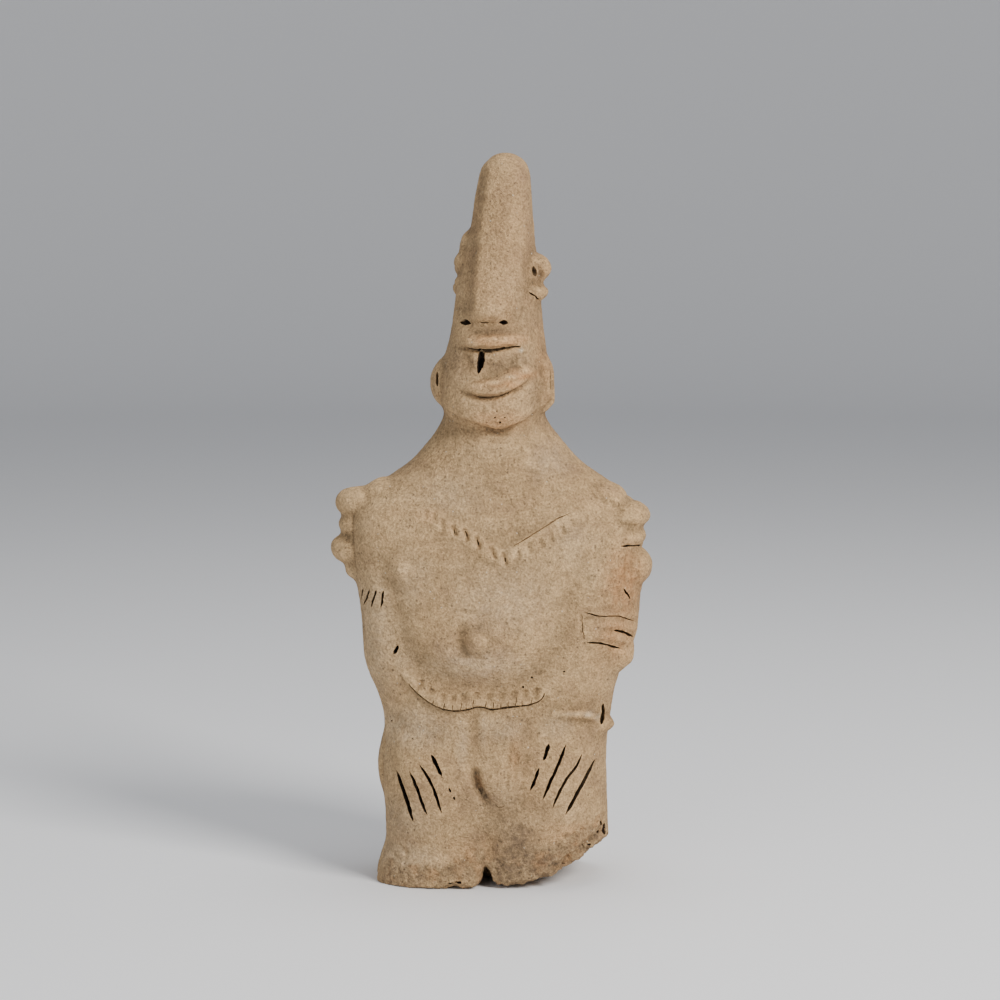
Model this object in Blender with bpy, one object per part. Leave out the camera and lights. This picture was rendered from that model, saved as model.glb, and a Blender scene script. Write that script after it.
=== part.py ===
"""Janiform funerary figure: two figures back to back in one solid of coarse fired clay, under one tall cone.

The front faces -Y. Sizes are in millimetres until the finished solid is scaled to metres. Its origin is
the middle of the box around the figure, at the surface that it stands on. The clay is worked in the order
that a potter would follow: lofted masses, thumbed swells and hollows, coils and pellets laid on the skin,
fine lines, and last the breaks and the knife cuts.
"""

import math

import bmesh
import bpy
import numpy as np
from mathutils import Matrix, Vector, noise
from mathutils.bvhtree import BVHTree

MM = 0.001
HEIGHT = 380
TRIANGLES_BEFORE_CUTS = 7200
CLAY_COLOUR = (0.40, 0.30, 0.21, 1.0)
CLAY_ROUGHNESS = 0.9
SHARP_EDGE = math.radians(50)
FRONT, BACK = -1, 1

# Each row: height, then the reach to the left, right, front and back of the middle, and the squareness.
BODY = np.array([
    (-8, 58, 59, 37, 38, 3.0),
    (12, 58.5, 61, 40, 40, 3.0),
    (35, 57, 61, 42, 41, 3.0),
    (62, 57, 60.5, 43, 42, 2.9),
    (82, 57.5, 63, 40, 40, 2.8),
    (100, 62, 67.5, 39, 39, 2.6),
    (128, 68.5, 74.5, 42, 41, 2.6),
    (148, 71.5, 76.5, 42, 41, 2.6),
    (170, 74, 76.5, 39, 39, 2.5),
    (188, 71.5, 73.5, 35, 36, 2.4),
    (200, 64, 67.5, 32, 33, 2.3),
    (209, 54, 58.5, 30, 31, 2.2),
    (218, 44.5, 48.5, 28, 29, 2.1),
    (229, 33.5, 38.5, 26, 27, 2.0),
    (241, 25.5, 29.5, 23.5, 24, 2.0),
    (258, 20, 22, 19, 19, 2.0),
])
HEAD = np.array([
    (236, 22, 22, 29, 29, 2.2),
    (248, 26, 26, 34, 34, 2.3),
    (263, 27, 27, 33.5, 33.5, 2.4),
    (280, 25, 25, 30, 30, 2.4),
    (292, 23, 23, 28, 28, 2.3),
    (305, 21.5, 21.5, 26, 26, 2.2),
    (322, 19, 19, 22, 22, 2.1),
    (339, 16, 16, 19, 19, 2.0),
    (358, 14, 14, 16.5, 16.5, 2.0),
    (HEIGHT, 12.4, 12.4, 14, 14, 2.0),
])
NOSE = np.array([
    (294, 12.5, 12.5, 34.5, 0, 2.3),
    (300, 13, 13, 34, 0, 2.3),
    (311, 14, 14, 30.5, 0, 2.2),
    (328, 15, 15, 24.5, 0, 2.2),
    (346, 14.8, 14.8, 19, 0, 2.1),
    (362, 13.5, 13.5, 16, 0, 2.0),
])
HEAD_TURN = math.radians(-10)
HEAD_LEAN_LOW, HEAD_LEAN_HIGH = 1.8, 4.8

# Lines on the front figure, as (x, z) across its skin. The back figure is laid out by the same ones.
ARM_HOLLOWS = (
    [(-52, 174), (-49, 150), (-47, 130), (-43, 114), (-37, 106)],
    [(52, 170), (48, 150), (43, 130), (35, 113), (28, 105)],
)
BELT = [(-43, 116), (-37, 109), (-29, 102), (-19, 99), (-7, 101), (11, 101), (20, 102), (23, 109)]
BELT_EDGE = [(-46, 114), (-36, 102), (-27.5, 96), (-18, 94.5), (-7, 97), (11, 97), (22.5, 98), (27.5, 110)]
NECKLACE = [(-40, 195), (-22, 187), (-8, 180), (4, 174), (10, 174.5), (20, 181), (44, 195.5)]
LAPPET = [(4.2, 93), (4.2, 78), (4.4, 62), (4.0, 52), (3.4, 43.5)]
LAPPET_WIDE, LAPPET_THICK = (11, 11.5, 11.5, 11, 9.5, 7), (1.4, 1.8, 2.2, 3, 4.2, 3.6)

# Straight cuts, from (x, z) to (x, z), and their width and depth.
SLIT_WIDTH, SLIT_DEPTH = 2.4, 5
MOUTH_WIDTH, MOUTH_DEPTH = 3.4, 6
EAR_WIDTH, EAR_DEPTH = 5, 3
PIT_SEGMENTS = 9
NECKLACE_NOTCHES = [
    (-24.5, 187.5), (-19, 185), (-13, 182.5), (-7, 178.5),
    (0.5, 175.5), (6.5, 173.5), (12.5, 177.5), (19, 181.5),
]
FINGER_SLITS = [
    (-48.6, 62, -40.3, 37), (-42, 63, -33.2, 41.5), (-37, 66.5, -25, 42), (-31, 72.5, -26, 62.5),
    (29, 77.5, 26.2, 69.5), (24.2, 66, 19.9, 54.5), (37.6, 74.7, 25.7, 49), (45.3, 70.7, 31.3, 45.4),
    (52.9, 67, 37.9, 40.8),
]
ARM_SLITS = [
    (-66.5, 156.5, -67.8, 149.5), (-62.6, 156, -65, 149.5), (-59.5, 156, -61.7, 149.5),
    (-56.3, 156, -57.5, 149.5), (63, 141.7, 73.5, 138), (60.8, 135, 71.6, 131),
    (46.8, 130.3, 65.3, 125.3), (57, 95, 57, 85),
]

# Studs and lumps at the shoulders, right elbow and right wrist: x, y, z, then the radii along X, Y and Z.
STUDS = (
    (-57, -6, 205.5, 7.5, 9, 6.5), (-70, -4, 198.5, 9, 10, 7.8), (-71, -3, 188, 8, 8, 6),
    (-74.5, -4, 176, 9.6, 9, 8.2), (59.5, -5, 205, 8.5, 9, 6.4), (71, -4, 194, 10.5, 10, 8.4),
    (74, -5, 181, 8, 8, 6.2), (75.5, -4, 163, 8.4, 8, 13), (67.5, -17, 118.5, 7, 9, 7.4),
    (59, -18, 82.5, 6, 8, 5), (-69, 17, 194, 6.4, 7, 6), (-73, 16, 176, 6, 7, 6.4),
    (70, 17, 192, 6.8, 7, 6), (75, 16, 171, 4.6, 7, 7),
)

# Where the underside is broken away: the grid it is drawn on, the height of its edge across the front, and
# the extra loss from the knees' front face.
BREAK_COLUMNS = (
    -75, -62, -54, -44, -32, -22, -17, -12, -7.5, -5, -3.5, -2, 0.5, 3, 6, 10, 15, 20, 26, 32, 38, 44, 50,
    56, 62, 68, 85,
)
BREAK_ROWS = (-70, -50, -44, -41, -38, -35, -31, -26, -20, -12, -4, 6, 16, 28, 40, 60)
BREAK_EDGE_X = (-18, -12, -6, -3.5, -2, 0.5, 6, 14, 22, 32, 44, 54, 63, 85)
BREAK_EDGE_Z = (0, 4.5, 5.2, 7, 12.5, 10, 5, 3.3, 5.2, 8.6, 14.2, 21.8, 29.5, 48)
KNEE_BREAK_X = (-75, -50, -30, -6, -2, 3, 20, 40, 60, 85)
KNEE_BREAK_Z = (1, 1.5, 2, 5, 5, 6, 9, 13, 10, 6)
BREAK_ROUGHNESS = 1.8


# ---- small tools -----------------------------------------------------------------------------------------

def clear_scene():
    for thing in list(bpy.data.objects):
        bpy.data.objects.remove(thing)


def ease(value):
    """0 below 0, 1 above 1, and a smooth step between them."""
    t = np.clip(value, 0, 1)
    return t * t * (3 - 2 * t)


def follow(stations, at):
    """The stations' values at these places along their first column, on a smooth curve through them."""
    knots, values = stations[:, 0], stations[:, 1:]
    slopes = np.gradient(values, knots, axis=0)
    k = np.clip(np.searchsorted(knots, at) - 1, 0, len(knots) - 2)
    span = (knots[k + 1] - knots[k])[:, None]
    t = (at - knots[k])[:, None] / span
    return (
        (2 * t**3 - 3 * t**2 + 1) * values[k]
        + (t**3 - 2 * t**2 + t) * span * slopes[k]
        + (3 * t**2 - 2 * t**3) * values[k + 1]
        + (t**3 - t**2) * span * slopes[k + 1]
    )


def smooth_path(points, count):
    """count points, evenly spaced on a smooth curve through the given ones."""
    points = np.array(points, float)
    steps = np.linalg.norm(np.diff(points, axis=0), axis=1)
    along = np.concatenate([[0], np.cumsum(steps)])
    return follow(np.column_stack([along, points]), np.linspace(0, along[-1], count))


def linked(name, mesh):
    thing = bpy.data.objects.new(name, mesh)
    bpy.context.scene.collection.objects.link(thing)
    return thing


def new_object(name, points, faces):
    mesh = bpy.data.meshes.new(name)
    mesh.from_pydata([tuple(point) for point in points], [], faces)
    return linked(name, mesh)


def object_from(shape, name):
    """An object with this bmesh's faces, all turned outwards."""
    bmesh.ops.recalc_face_normals(shape, faces=shape.faces)
    mesh = bpy.data.meshes.new(name)
    shape.to_mesh(mesh)
    shape.free()
    return linked(name, mesh)


def join(parts, name):
    """One object with all the parts' faces, in place of the parts."""
    joined = bmesh.new()
    for part in parts:
        joined.from_mesh(part.data)
        bpy.data.objects.remove(part)
    mesh = bpy.data.meshes.new(name)
    joined.to_mesh(mesh)
    joined.free()
    return linked(name, mesh)


def apply_modifiers(thing):
    graph = bpy.context.evaluated_depsgraph_get()
    mesh = bpy.data.meshes.new_from_object(thing.evaluated_get(graph))
    thing.modifiers.clear()
    thing.data = mesh


def points_of(mesh, field="co"):
    source = mesh.vertices if field == "co" else mesh.vertex_normals
    found = np.empty(len(mesh.vertices) * 3)
    source.foreach_get(field, found)
    return found.reshape(-1, 3)


def rings_to_tube(rings):
    """Points and faces of a closed tube through equal rings, given as rows of points."""
    around = len(rings[0])
    faces = [
        (i * around + j, i * around + (j + 1) % around,
         (i + 1) * around + (j + 1) % around, (i + 1) * around + j)
        for i in range(len(rings) - 1)
        for j in range(around)
    ]
    faces.append(tuple(reversed(range(around))))
    faces.append(tuple(range((len(rings) - 1) * around, len(rings) * around)))
    return np.concatenate(rings), faces


# ---- masses ----------------------------------------------------------------------------------------------

def loft(name, stations, round_top=0, round_bottom=0, rows=90, around=96):
    """A closed form through the stations, with domed ends of the given heights."""
    low, high = stations[0, 0], stations[-1, 0]
    heights = low + (high - low) * (0.5 - 0.5 * np.cos(np.linspace(0, math.pi, rows)))
    angle = np.linspace(0, 2 * math.pi, around, endpoint=False)
    c, s = np.cos(angle), np.sin(angle)
    rings = []
    for height, (left, right, front, back, square) in zip(heights, follow(stations, heights)):
        dome = 1.0
        for rounding, gap in ((round_top, high - height), (round_bottom, height - low)):
            if gap < rounding:
                dome *= math.sqrt(1 - (1 - gap / rounding) ** 2)
        dome = max(dome, 0.02)
        x = np.where(c > 0, right, left) * np.sign(c) * np.abs(c) ** (2 / square) * dome
        y = np.where(s > 0, back, front) * np.sign(s) * np.abs(s) ** (2 / square) * dome
        rings.append(np.column_stack([x, y, np.full(around, height)]))
    return new_object(name, *rings_to_tube(rings))


def lean_and_turn(head_part, turn):
    """Turns a part of the head about its own axis, then leans it a little to the right as it rises."""
    points = points_of(head_part.data)
    c, s = math.cos(turn), math.sin(turn)
    x, y, z = points.T
    turned = np.column_stack([c * x - s * y + head_axis(z), s * x + c * y, z])
    head_part.data.vertices.foreach_set("co", turned.ravel())


def head_axis(height):
    """How far right of the middle the head's axis stands at this height."""
    return HEAD_LEAN_LOW + (HEAD_LEAN_HIGH - HEAD_LEAN_LOW) * ease((height - 250) / 90)


def masses():
    body = loft("body", BODY)
    head = loft("head", HEAD, round_top=13, round_bottom=9)
    lean_and_turn(head, HEAD_TURN)
    made = [body, head]
    for name, turn in (("nose_front", HEAD_TURN), ("nose_back", HEAD_TURN + math.pi)):
        nose = loft(name, NOSE, round_bottom=2.5, rows=40, around=48)
        lean_and_turn(nose, turn)
        made.append(nose)
    return made


# ---- working the clay ------------------------------------------------------------------------------------

def fuse(name, parts, grain, smoothing):
    """Presses the parts into one closed skin of even grain, and rubs its joins smooth."""
    clay = join(parts, name)
    remesh = clay.modifiers.new("grain", "REMESH")
    remesh.mode = "VOXEL"
    remesh.voxel_size = grain
    rub = clay.modifiers.new("rub", "SMOOTH")
    rub.factor = 0.5
    rub.iterations = smoothing
    apply_modifiers(clay)
    return clay


class Skin:
    """The clay's surface, for finding places on it and pushing them in or out."""

    def __init__(self, clay):
        self.clay = clay
        self.points = points_of(clay.data)
        self.normals = points_of(clay.data, "vector")
        self.tree = BVHTree.FromObject(clay, bpy.context.evaluated_depsgraph_get())

    def on_body(self, x, z, side):
        """The skin's point and normal straight in from the front or back, or the nearest past its edge."""
        point, normal, _, _ = self.tree.ray_cast(Vector((x, side * 200, z)), Vector((0, -side, 0)))
        if point is None:
            point, normal, _, _ = self.tree.find_nearest(Vector((x, side * 15, z)))
        return point, normal

    def on_flank(self, side, y, z):
        """The skin's point and normal straight in from the left, -1, or the right, 1."""
        point, normal, _, _ = self.tree.ray_cast(Vector((side * 200, y, z)), Vector((-side, 0, 0)))
        return point, normal

    def on_head(self, around, z, turn):
        """The skin's point and normal at an angle in degrees round the head from that face's middle."""
        angle = math.radians(around) + turn
        outward = Vector((math.sin(angle), -math.cos(angle), 0))
        axis = Vector((float(head_axis(z)), 0, z))
        point, normal, _, _ = self.tree.ray_cast(axis + outward * 150, -outward)
        return point, normal

    def stroke(self, path, width, *heights):
        """Raises the skin along a path, or presses it in where the height is below 0. One height fades out
        at both ends; more are spread evenly along the path."""
        path = np.array([tuple(point) for point in path])
        best = np.full(len(self.points), np.inf)
        place = np.zeros(len(self.points))
        for k, (a, b) in enumerate(zip(path[:-1], path[1:])):
            along = np.clip((self.points - a) @ (b - a) / ((b - a) @ (b - a)), 0, 1)
            gap = np.linalg.norm(self.points - a - along[:, None] * (b - a), axis=1)
            nearer = gap < best
            best[nearer] = gap[nearer]
            place[nearer] = (k + along[nearer]) / (len(path) - 1)
        if len(heights) == 1:
            height = heights[0] * np.sqrt(np.clip(1 - (2 * place - 1) ** 4, 0, 1))
        else:
            height = np.interp(place, np.linspace(0, 1, len(heights)), heights)
        self.points += self.normals * (height * np.exp(-((best / width) ** 2)))[:, None]

    def swell(self, centre, reach, height):
        """Raises, or presses in, a soft oval of the given reach along X, Y and Z."""
        gap = np.linalg.norm((self.points - np.array(tuple(centre))) / np.array(reach), axis=1)
        amount = height * (1 - ease(gap))
        self.points += self.normals * amount[:, None]

    def set(self):
        self.clay.data.vertices.foreach_set("co", self.points.ravel())
        self.clay.data.update()

    def along_body(self, spots, side, count=24):
        """Places on the skin along a smooth line through (x, z) spots of the front or back figure."""
        line = smooth_path([(x, z, 0) for x, z in spots], count)
        return [self.on_body(mirrored(x, side), z, side) for x, z, _ in line]

    def along_head(self, spots, turn, count=24):
        """Places on the skin along a smooth line through (angle, z, lift) spots round one face."""
        places = []
        for around, z, lift in smooth_path(spots, count):
            point, normal = self.on_head(around, z, turn)
            places.append((point + normal * lift, normal))
        return places


def mirrored(x, side):
    """The back figure is laid out as the front one is, so its left is the front one's right."""
    return x if side == FRONT else -x


def face_turn(side):
    return HEAD_TURN if side == FRONT else HEAD_TURN + math.pi


def where(places):
    return [point for point, _ in places]


# ---- coils, straps and pellets ---------------------------------------------------------------------------

def pellet(centre, radii, segments=24):
    """A ball of clay, pressed to these radii along X, Y and Z."""
    place = Matrix.Translation(centre) @ Matrix.Diagonal((*radii, 1))
    ball = bmesh.new()
    rows = segments * 2 // 3
    bmesh.ops.create_uvsphere(ball, u_segments=segments, v_segments=rows, radius=1, matrix=place)
    return object_from(ball, "pellet")


def strap(places, wide, thick, around=20):
    """A coil laid along places on the skin, flattened to half widths across it and half heights off it."""
    points = np.array([tuple(point) for point, _ in places])
    normals = np.array([tuple(normal) for _, normal in places])
    count = len(points)
    place = np.linspace(0, 1, count)
    wide = np.interp(place, np.linspace(0, 1, np.size(wide)), np.atleast_1d(wide))
    thick = np.interp(place, np.linspace(0, 1, np.size(thick)), np.atleast_1d(thick))
    steps = np.linalg.norm(np.diff(points, axis=0), axis=1)
    along = np.concatenate([[0], np.cumsum(steps)])
    gap = np.minimum(along, along[-1] - along)
    dome = np.sqrt(np.clip(1 - (1 - np.clip(gap / wide, 0, 1)) ** 2, 0.01, 1))
    tangents = np.gradient(points, axis=0)
    angle = np.linspace(0, 2 * math.pi, around, endpoint=False)
    rings = []
    for k in range(count):
        tangent = tangents[k] / np.linalg.norm(tangents[k])
        off = normals[k] - (normals[k] @ tangent) * tangent
        off /= np.linalg.norm(off)
        across = np.cross(tangent, off)
        rings.append(
            points[k]
            + np.outer(np.cos(angle) * wide[k] * dome[k], across)
            + np.outer(np.sin(angle) * thick[k] * dome[k], off)
        )
    return new_object("strap", *rings_to_tube(rings))


# ---- the figures' forms ----------------------------------------------------------------------------------

def broad_forms(clay):
    """The swells and hollows of both figures, thumbed into the plain masses."""
    skin = Skin(clay)
    for side in (FRONT, BACK):
        def spot(x, z):
            return skin.on_body(mirrored(x, side), z, side)[0]

        plain = 1.0 if side == FRONT else 0.8
        skin.swell(spot(-6, 130), (44, 45, 42), 4.2 * plain)
        for line in ARM_HOLLOWS:
            skin.stroke(where(skin.along_body(line, side)), 10, -3.0 * plain)
        for x, z in ((-38, 58), (38, 61)):
            skin.swell(spot(x, z), (27, 34, 36), 3.2)
        for x in (-13, 20.5):
            skin.stroke(where(skin.along_body([(x, 92), (x, 72), (x * 0.8, 52)], side)), 5, -2.4 * plain)
        skin.stroke(where(skin.along_body([(0.5, 50), (0, 30), (-1, -7)], side)), 7, -0.5, -3.0, -3.8, -4.5)
        skin.stroke(where(skin.along_body([(-58, 92), (-38, 83), (-22, 81)], side)), 5, -1.2)
        turn = face_turn(side)
        for around, z, width, height in ((0, 285, 6, 1.1), (0, 261, 7, 1.3), (3, 250, 9, 1.2)):
            arc = [(a, z + 0.04 * abs(a) - 0.6, 0) for a in (-50, -25, around, 25, 50)]
            skin.stroke(where(skin.along_head(arc, turn)), width, height)
    for flank, y in ((-1, -16), (1, -14)):
        groove = [skin.on_flank(flank, y + 0.07 * (190 - z), z)[0] for z in range(200, -7, -6)]
        skin.stroke(groove, 4.4, -2.0, -5.4, -4.2, -3.4, -3.8, -4.4, -4.6, -4.0)
    skin.swell((-57, 16, 36), (22, 27, 44), 3.6)
    skin.set()


def face_parts(skin, turn, plain):
    """Lips, eyes and ears of one face, laid round the head."""
    upper = [(-50, 283.5, -0.4), (-25, 285, 0.2), (0, 285.4, 0.6), (28, 285.4, 0.2), (55, 284, -0.6)]
    lower = [(-46, 262, -0.4), (-22, 260.2, 0.8), (4, 260.6, 1.0), (28, 263.6, 0.4), (52, 268.5, -0.6)]
    parts = [
        strap(skin.along_head(upper, turn), 3.4, 1.9),
        strap(skin.along_head(lower, turn), 3.6, 2.2),
    ]
    for hand in (-1, 1):
        middle = 328.5 if hand < 0 and not plain else 319
        tall = 7 if hand < 0 and not plain else 5.4
        ring = [
            (hand * 68 + 13 * math.cos(math.radians(a)), middle + tall * math.sin(math.radians(a)), 1.4)
            for a in range(0, 430, 30)
        ]
        parts.append(strap(skin.along_head(ring, turn, 40), 3.0, 3.2))
        lobe, outward = skin.on_head(hand * 72, middle - tall - 6.5, turn)
        parts.append(pellet(lobe + outward * 0.6, (4.8, 5, 4.8)))
    return parts


def ears(skin):
    """One ear on each side, shared by both faces: an upright ring of clay standing off the head."""
    parts = []
    for hand, out in ((-1, 2.4), (1, 0.8)):
        ring = [
            (hand * 90 + 15 * math.cos(math.radians(a)), 258 + 12 * math.sin(math.radians(a)),
             out * (1 - 0.7 * abs(math.sin(math.radians(a)))))
            for a in range(0, 430, 30)
        ]
        parts.append(strap(skin.along_head(ring, HEAD_TURN, 48), 3.2, 3.4))
    return parts


def torso_parts(skin, side):
    """Belt, necklace, loin flap, navel, breasts and bracelet of one figure."""
    def spot(x, z):
        return skin.on_body(mirrored(x, side), z, side)

    parts = [
        strap(skin.along_body(BELT, side, 40), 5.2, 1.3),
        strap(skin.along_body(NECKLACE, side, 40), 4.6, 1.5),
        strap(skin.along_body(LAPPET, side, 30), LAPPET_WIDE, LAPPET_THICK),
    ]
    point, outward = spot(-8, 129)
    parts.append(pellet(point + outward * 1.0, (6, 5, 5.8)))
    for x in (-47,) if side == FRONT else (-44, 45):
        point, outward = spot(x, 166)
        parts.append(pellet(point, (8.5, 3.0, 8.5)))
    if side == FRONT:
        parts.append(strap(skin.along_body([(31, 91), (45, 91.5), (56, 89), (64, 85)], side), 3.4, 1.6))
    return parts


def shoulder_pellets(skin):
    """The studs along both shoulders and upper arms, and the lumps at the right elbow and wrist."""
    return [pellet((x, y, z), (wide, deep, tall)) for x, y, z, wide, deep, tall in STUDS]


def dress(clay):
    """Lays all the coils, straps and pellets on the worked clay and presses them on."""
    skin = Skin(clay)
    parts = [clay] + shoulder_pellets(skin) + ears(skin)
    for side in (FRONT, BACK):
        turn = face_turn(side)
        parts += face_parts(skin, turn, side == BACK)
        parts += torso_parts(skin, side)
    return fuse("figure", parts, 1.6, 3)


def fine_lines(clay):
    """The undercut edges and pressed lines, cut into the dressed clay."""
    skin = Skin(clay)
    for side in (FRONT, BACK):
        skin.stroke(where(skin.along_body(BELT_EDGE, side, 40)), 1.8, -1.7)
        for x, z in NECKLACE_NOTCHES if side == FRONT else ():
            slant = 1 if x < 4 else -1
            notch = [(x - slant, z + 3.6), (x, z - 3.6)]
            skin.stroke(where(skin.along_body(notch, side, 5)), 1.4, -1.3)
        turn = face_turn(side)
        for edge in (
            [(-48, 279.8, 0), (-22, 280.6, 0), (4, 281, 0), (30, 281, 0), (52, 280, 0)],
            [(-44, 257, 0), (-22, 255.4, 0), (4, 255.8, 0), (26, 258.5, 0), (44, 262, 0)],
        ):
            skin.stroke(where(skin.along_head(edge, turn, 32)), 2.0, -1.6)
    skin.set()


# ---- breaks and knife cuts -------------------------------------------------------------------------------

def broken_floor(x, y):
    """The height of the lowest clay left at this place, 0 where the old standing surface is whole."""
    back_off = 0.1 * (y + 42)
    height = float(np.interp(x, BREAK_EDGE_X, BREAK_EDGE_Z)) - back_off
    in_notch = -8 < x < 4
    if in_notch:
        height *= 1 - float(ease((y + 30) / 22))
    front_loss = float(np.interp(x, KNEE_BREAK_X, KNEE_BREAK_Z)) * (1 - float(ease((y + 42) / 14)))
    height = max(height, 0) + front_loss
    if height < 0.4:
        return 0.0
    coarse = noise.noise(Vector((x * 0.16, y * 0.16, 3.1)))
    fine = noise.noise(Vector((x * 0.4, y * 0.4, 8.7)))
    return max(0.0, height + BREAK_ROUGHNESS * (coarse + 0.6 * fine))


def break_cutter():
    """A slab under the figure whose top follows the broken underside of the legs."""
    wide, deep = len(BREAK_COLUMNS), len(BREAK_ROWS)
    top = [(x, y, broken_floor(x, y)) for y in BREAK_ROWS for x in BREAK_COLUMNS]
    low = [(x, y, -60) for y in BREAK_ROWS for x in BREAK_COLUMNS]
    faces = []
    for j in range(deep - 1):
        for i in range(wide - 1):
            a = j * wide + i
            faces += [(a, a + 1, a + wide + 1), (a, a + wide + 1, a + wide)]
            b = a + wide * deep
            faces += [(b, b + wide + 1, b + 1), (b, b + wide, b + wide + 1)]
    rim = (
        [i for i in range(wide)]
        + [j * wide + wide - 1 for j in range(1, deep)]
        + [(deep - 1) * wide + i for i in range(wide - 2, -1, -1)]
        + [j * wide for j in range(deep - 2, 0, -1)]
    )
    below = wide * deep
    for a, b in zip(rim, rim[1:] + rim[:1]):
        faces.append((a, a + below, b + below, b))
    return new_object("break_cutter", top + low, faces)


def knife(skin_place_a, skin_place_b, width, depth):
    """A thin blade between two places on the skin, widest at its middle, driven straight in."""
    (a, normal_a), (b, normal_b) = skin_place_a, skin_place_b
    inward = -(normal_a + normal_b).normalized()
    across = (b - a).cross(inward).normalized() * width / 2
    middle = (a + b) / 2
    lip = [a, middle + across, b, middle - across]
    outer = [point - inward * 2.6 for point in lip]
    inner = [point + inward * depth for point in lip]
    faces = [(0, 1, 2, 3), (7, 6, 5, 4)] + [(k, k + 4, (k + 1) % 4 + 4, (k + 1) % 4) for k in range(4)]
    blade = bmesh.new()
    corners = [blade.verts.new(point) for point in outer + inner]
    for face in faces:
        blade.faces.new([corners[k] for k in face])
    return object_from(blade, "knife")


def knife_cuts(skin):
    """Every slit and hole: fingers, armlets, mouths, nostrils, ears and the odd stab."""
    cutters = []
    for side in (FRONT, BACK):
        turn = face_turn(side)
        for x1, z1, x2, z2 in FINGER_SLITS + (ARM_SLITS if side == FRONT else []):
            ends = [skin.on_body(mirrored(x, side), z, side) for x, z in ((x1, z1), (x2, z2))]
            cutters.append(knife(*ends, SLIT_WIDTH, SLIT_DEPTH))
        ends = [skin.on_head(-3, z, turn) for z in (279, 267)]
        cutters.append(knife(*ends, MOUTH_WIDTH, MOUTH_DEPTH))
        for around in (-26, 23):
            nostril = skin.on_head(around, 293.5, turn)[0]
            cutters.append(pellet(nostril, (2.4, 2.4, 1.7), PIT_SEGMENTS))
    for around in (-90, 90):
        ends = [skin.on_head(around, z, HEAD_TURN) for z in (265, 251)]
        cutters.append(knife(*ends, EAR_WIDTH, EAR_DEPTH))
    stab = skin.on_body(-49.5, 125, FRONT)[0]
    cutters.append(pellet(stab, (1.6, 4, 2.4), PIT_SEGMENTS))
    pupil = skin.on_head(66, 319, HEAD_TURN)[0]
    cutters.append(pellet(pupil, (2, 2, 2.6), PIT_SEGMENTS))
    return cutters


def carve(clay, cutters, name):
    """Cuts all the cutters out of the clay."""
    tool = join(cutters, name)
    cut = clay.modifiers.new(name, "BOOLEAN")
    cut.operation = "DIFFERENCE"
    cut.solver = "EXACT"
    cut.object = tool
    apply_modifiers(clay)
    bpy.data.objects.remove(tool)


def thin_out(clay, triangles):
    """Keeps about this many triangles, most of them where the form turns most."""
    clay.data.calc_loop_triangles()
    thin = clay.modifiers.new("thin", "DECIMATE")
    thin.ratio = triangles / len(clay.data.loop_triangles)
    apply_modifiers(clay)


def finish(clay):
    """Centres the figure over its origin, scales it to metres and gives it its clay."""
    points = points_of(clay.data)
    middle = (points.min(axis=0) + points.max(axis=0)) / 2
    clay.data.transform(Matrix.Translation((-middle[0], -middle[1], 0)))
    clay.data.transform(Matrix.Scale(MM, 4))
    for face in clay.data.polygons:
        face.use_smooth = True
    clay.data.set_sharp_from_angle(angle=SHARP_EDGE)
    material = bpy.data.materials.new("fired_clay")
    material.use_nodes = True
    shader = material.node_tree.nodes["Principled BSDF"]
    shader.inputs["Base Color"].default_value = CLAY_COLOUR
    shader.inputs["Roughness"].default_value = CLAY_ROUGHNESS
    shader.inputs["Metallic"].default_value = 0.0
    clay.data.materials.clear()
    clay.data.materials.append(material)


clear_scene()
clay = fuse("figure", masses(), 2.0, 16)
broad_forms(clay)
clay = dress(clay)
fine_lines(clay)
thin_out(clay, TRIANGLES_BEFORE_CUTS)
carve(clay, [break_cutter()], "break_cutter")
carve(clay, knife_cuts(Skin(clay)), "knife_cuts")
finish(clay)
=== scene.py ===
import math

import bmesh
import bpy
import numpy as np
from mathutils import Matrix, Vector, noise
from mathutils.bvhtree import BVHTree


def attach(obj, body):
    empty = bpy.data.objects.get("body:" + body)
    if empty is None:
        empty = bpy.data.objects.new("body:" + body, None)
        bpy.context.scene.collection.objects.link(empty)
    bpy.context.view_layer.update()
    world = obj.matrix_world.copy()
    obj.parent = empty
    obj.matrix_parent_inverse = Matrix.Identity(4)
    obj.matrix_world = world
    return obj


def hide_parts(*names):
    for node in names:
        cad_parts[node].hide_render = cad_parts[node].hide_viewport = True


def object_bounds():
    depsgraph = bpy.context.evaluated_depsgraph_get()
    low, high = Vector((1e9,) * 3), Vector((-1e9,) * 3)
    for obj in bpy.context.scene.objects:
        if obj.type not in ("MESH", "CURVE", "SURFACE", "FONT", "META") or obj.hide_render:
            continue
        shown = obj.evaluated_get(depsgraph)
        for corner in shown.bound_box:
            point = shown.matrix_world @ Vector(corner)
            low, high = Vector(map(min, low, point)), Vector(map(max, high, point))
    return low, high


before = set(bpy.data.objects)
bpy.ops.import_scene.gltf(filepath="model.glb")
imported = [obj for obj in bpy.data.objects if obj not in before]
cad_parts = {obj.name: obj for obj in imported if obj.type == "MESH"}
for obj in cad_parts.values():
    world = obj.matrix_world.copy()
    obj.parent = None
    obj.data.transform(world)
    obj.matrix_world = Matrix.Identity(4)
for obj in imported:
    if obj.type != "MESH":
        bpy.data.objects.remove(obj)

cadLow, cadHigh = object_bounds()
front, back = -1, 1
noise.seed_set(7)  # the same unevenness in every run

# everything up to the fitting is modelled in millimetres, standing on z = 0, facing -Y
clayWork = {
    "massGrain": 2.0,  # grain that the bare masses are fused at
    "studGrain": 1.2,  # grain once the studs and eye lobes are on
    "fineGrain": 0.85,  # grain of the dressed figure
    "triangles": 156000,  # of the skin before the slits are cut, which add about a fifth
    "sharpEdge": math.radians(48),
}


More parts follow.
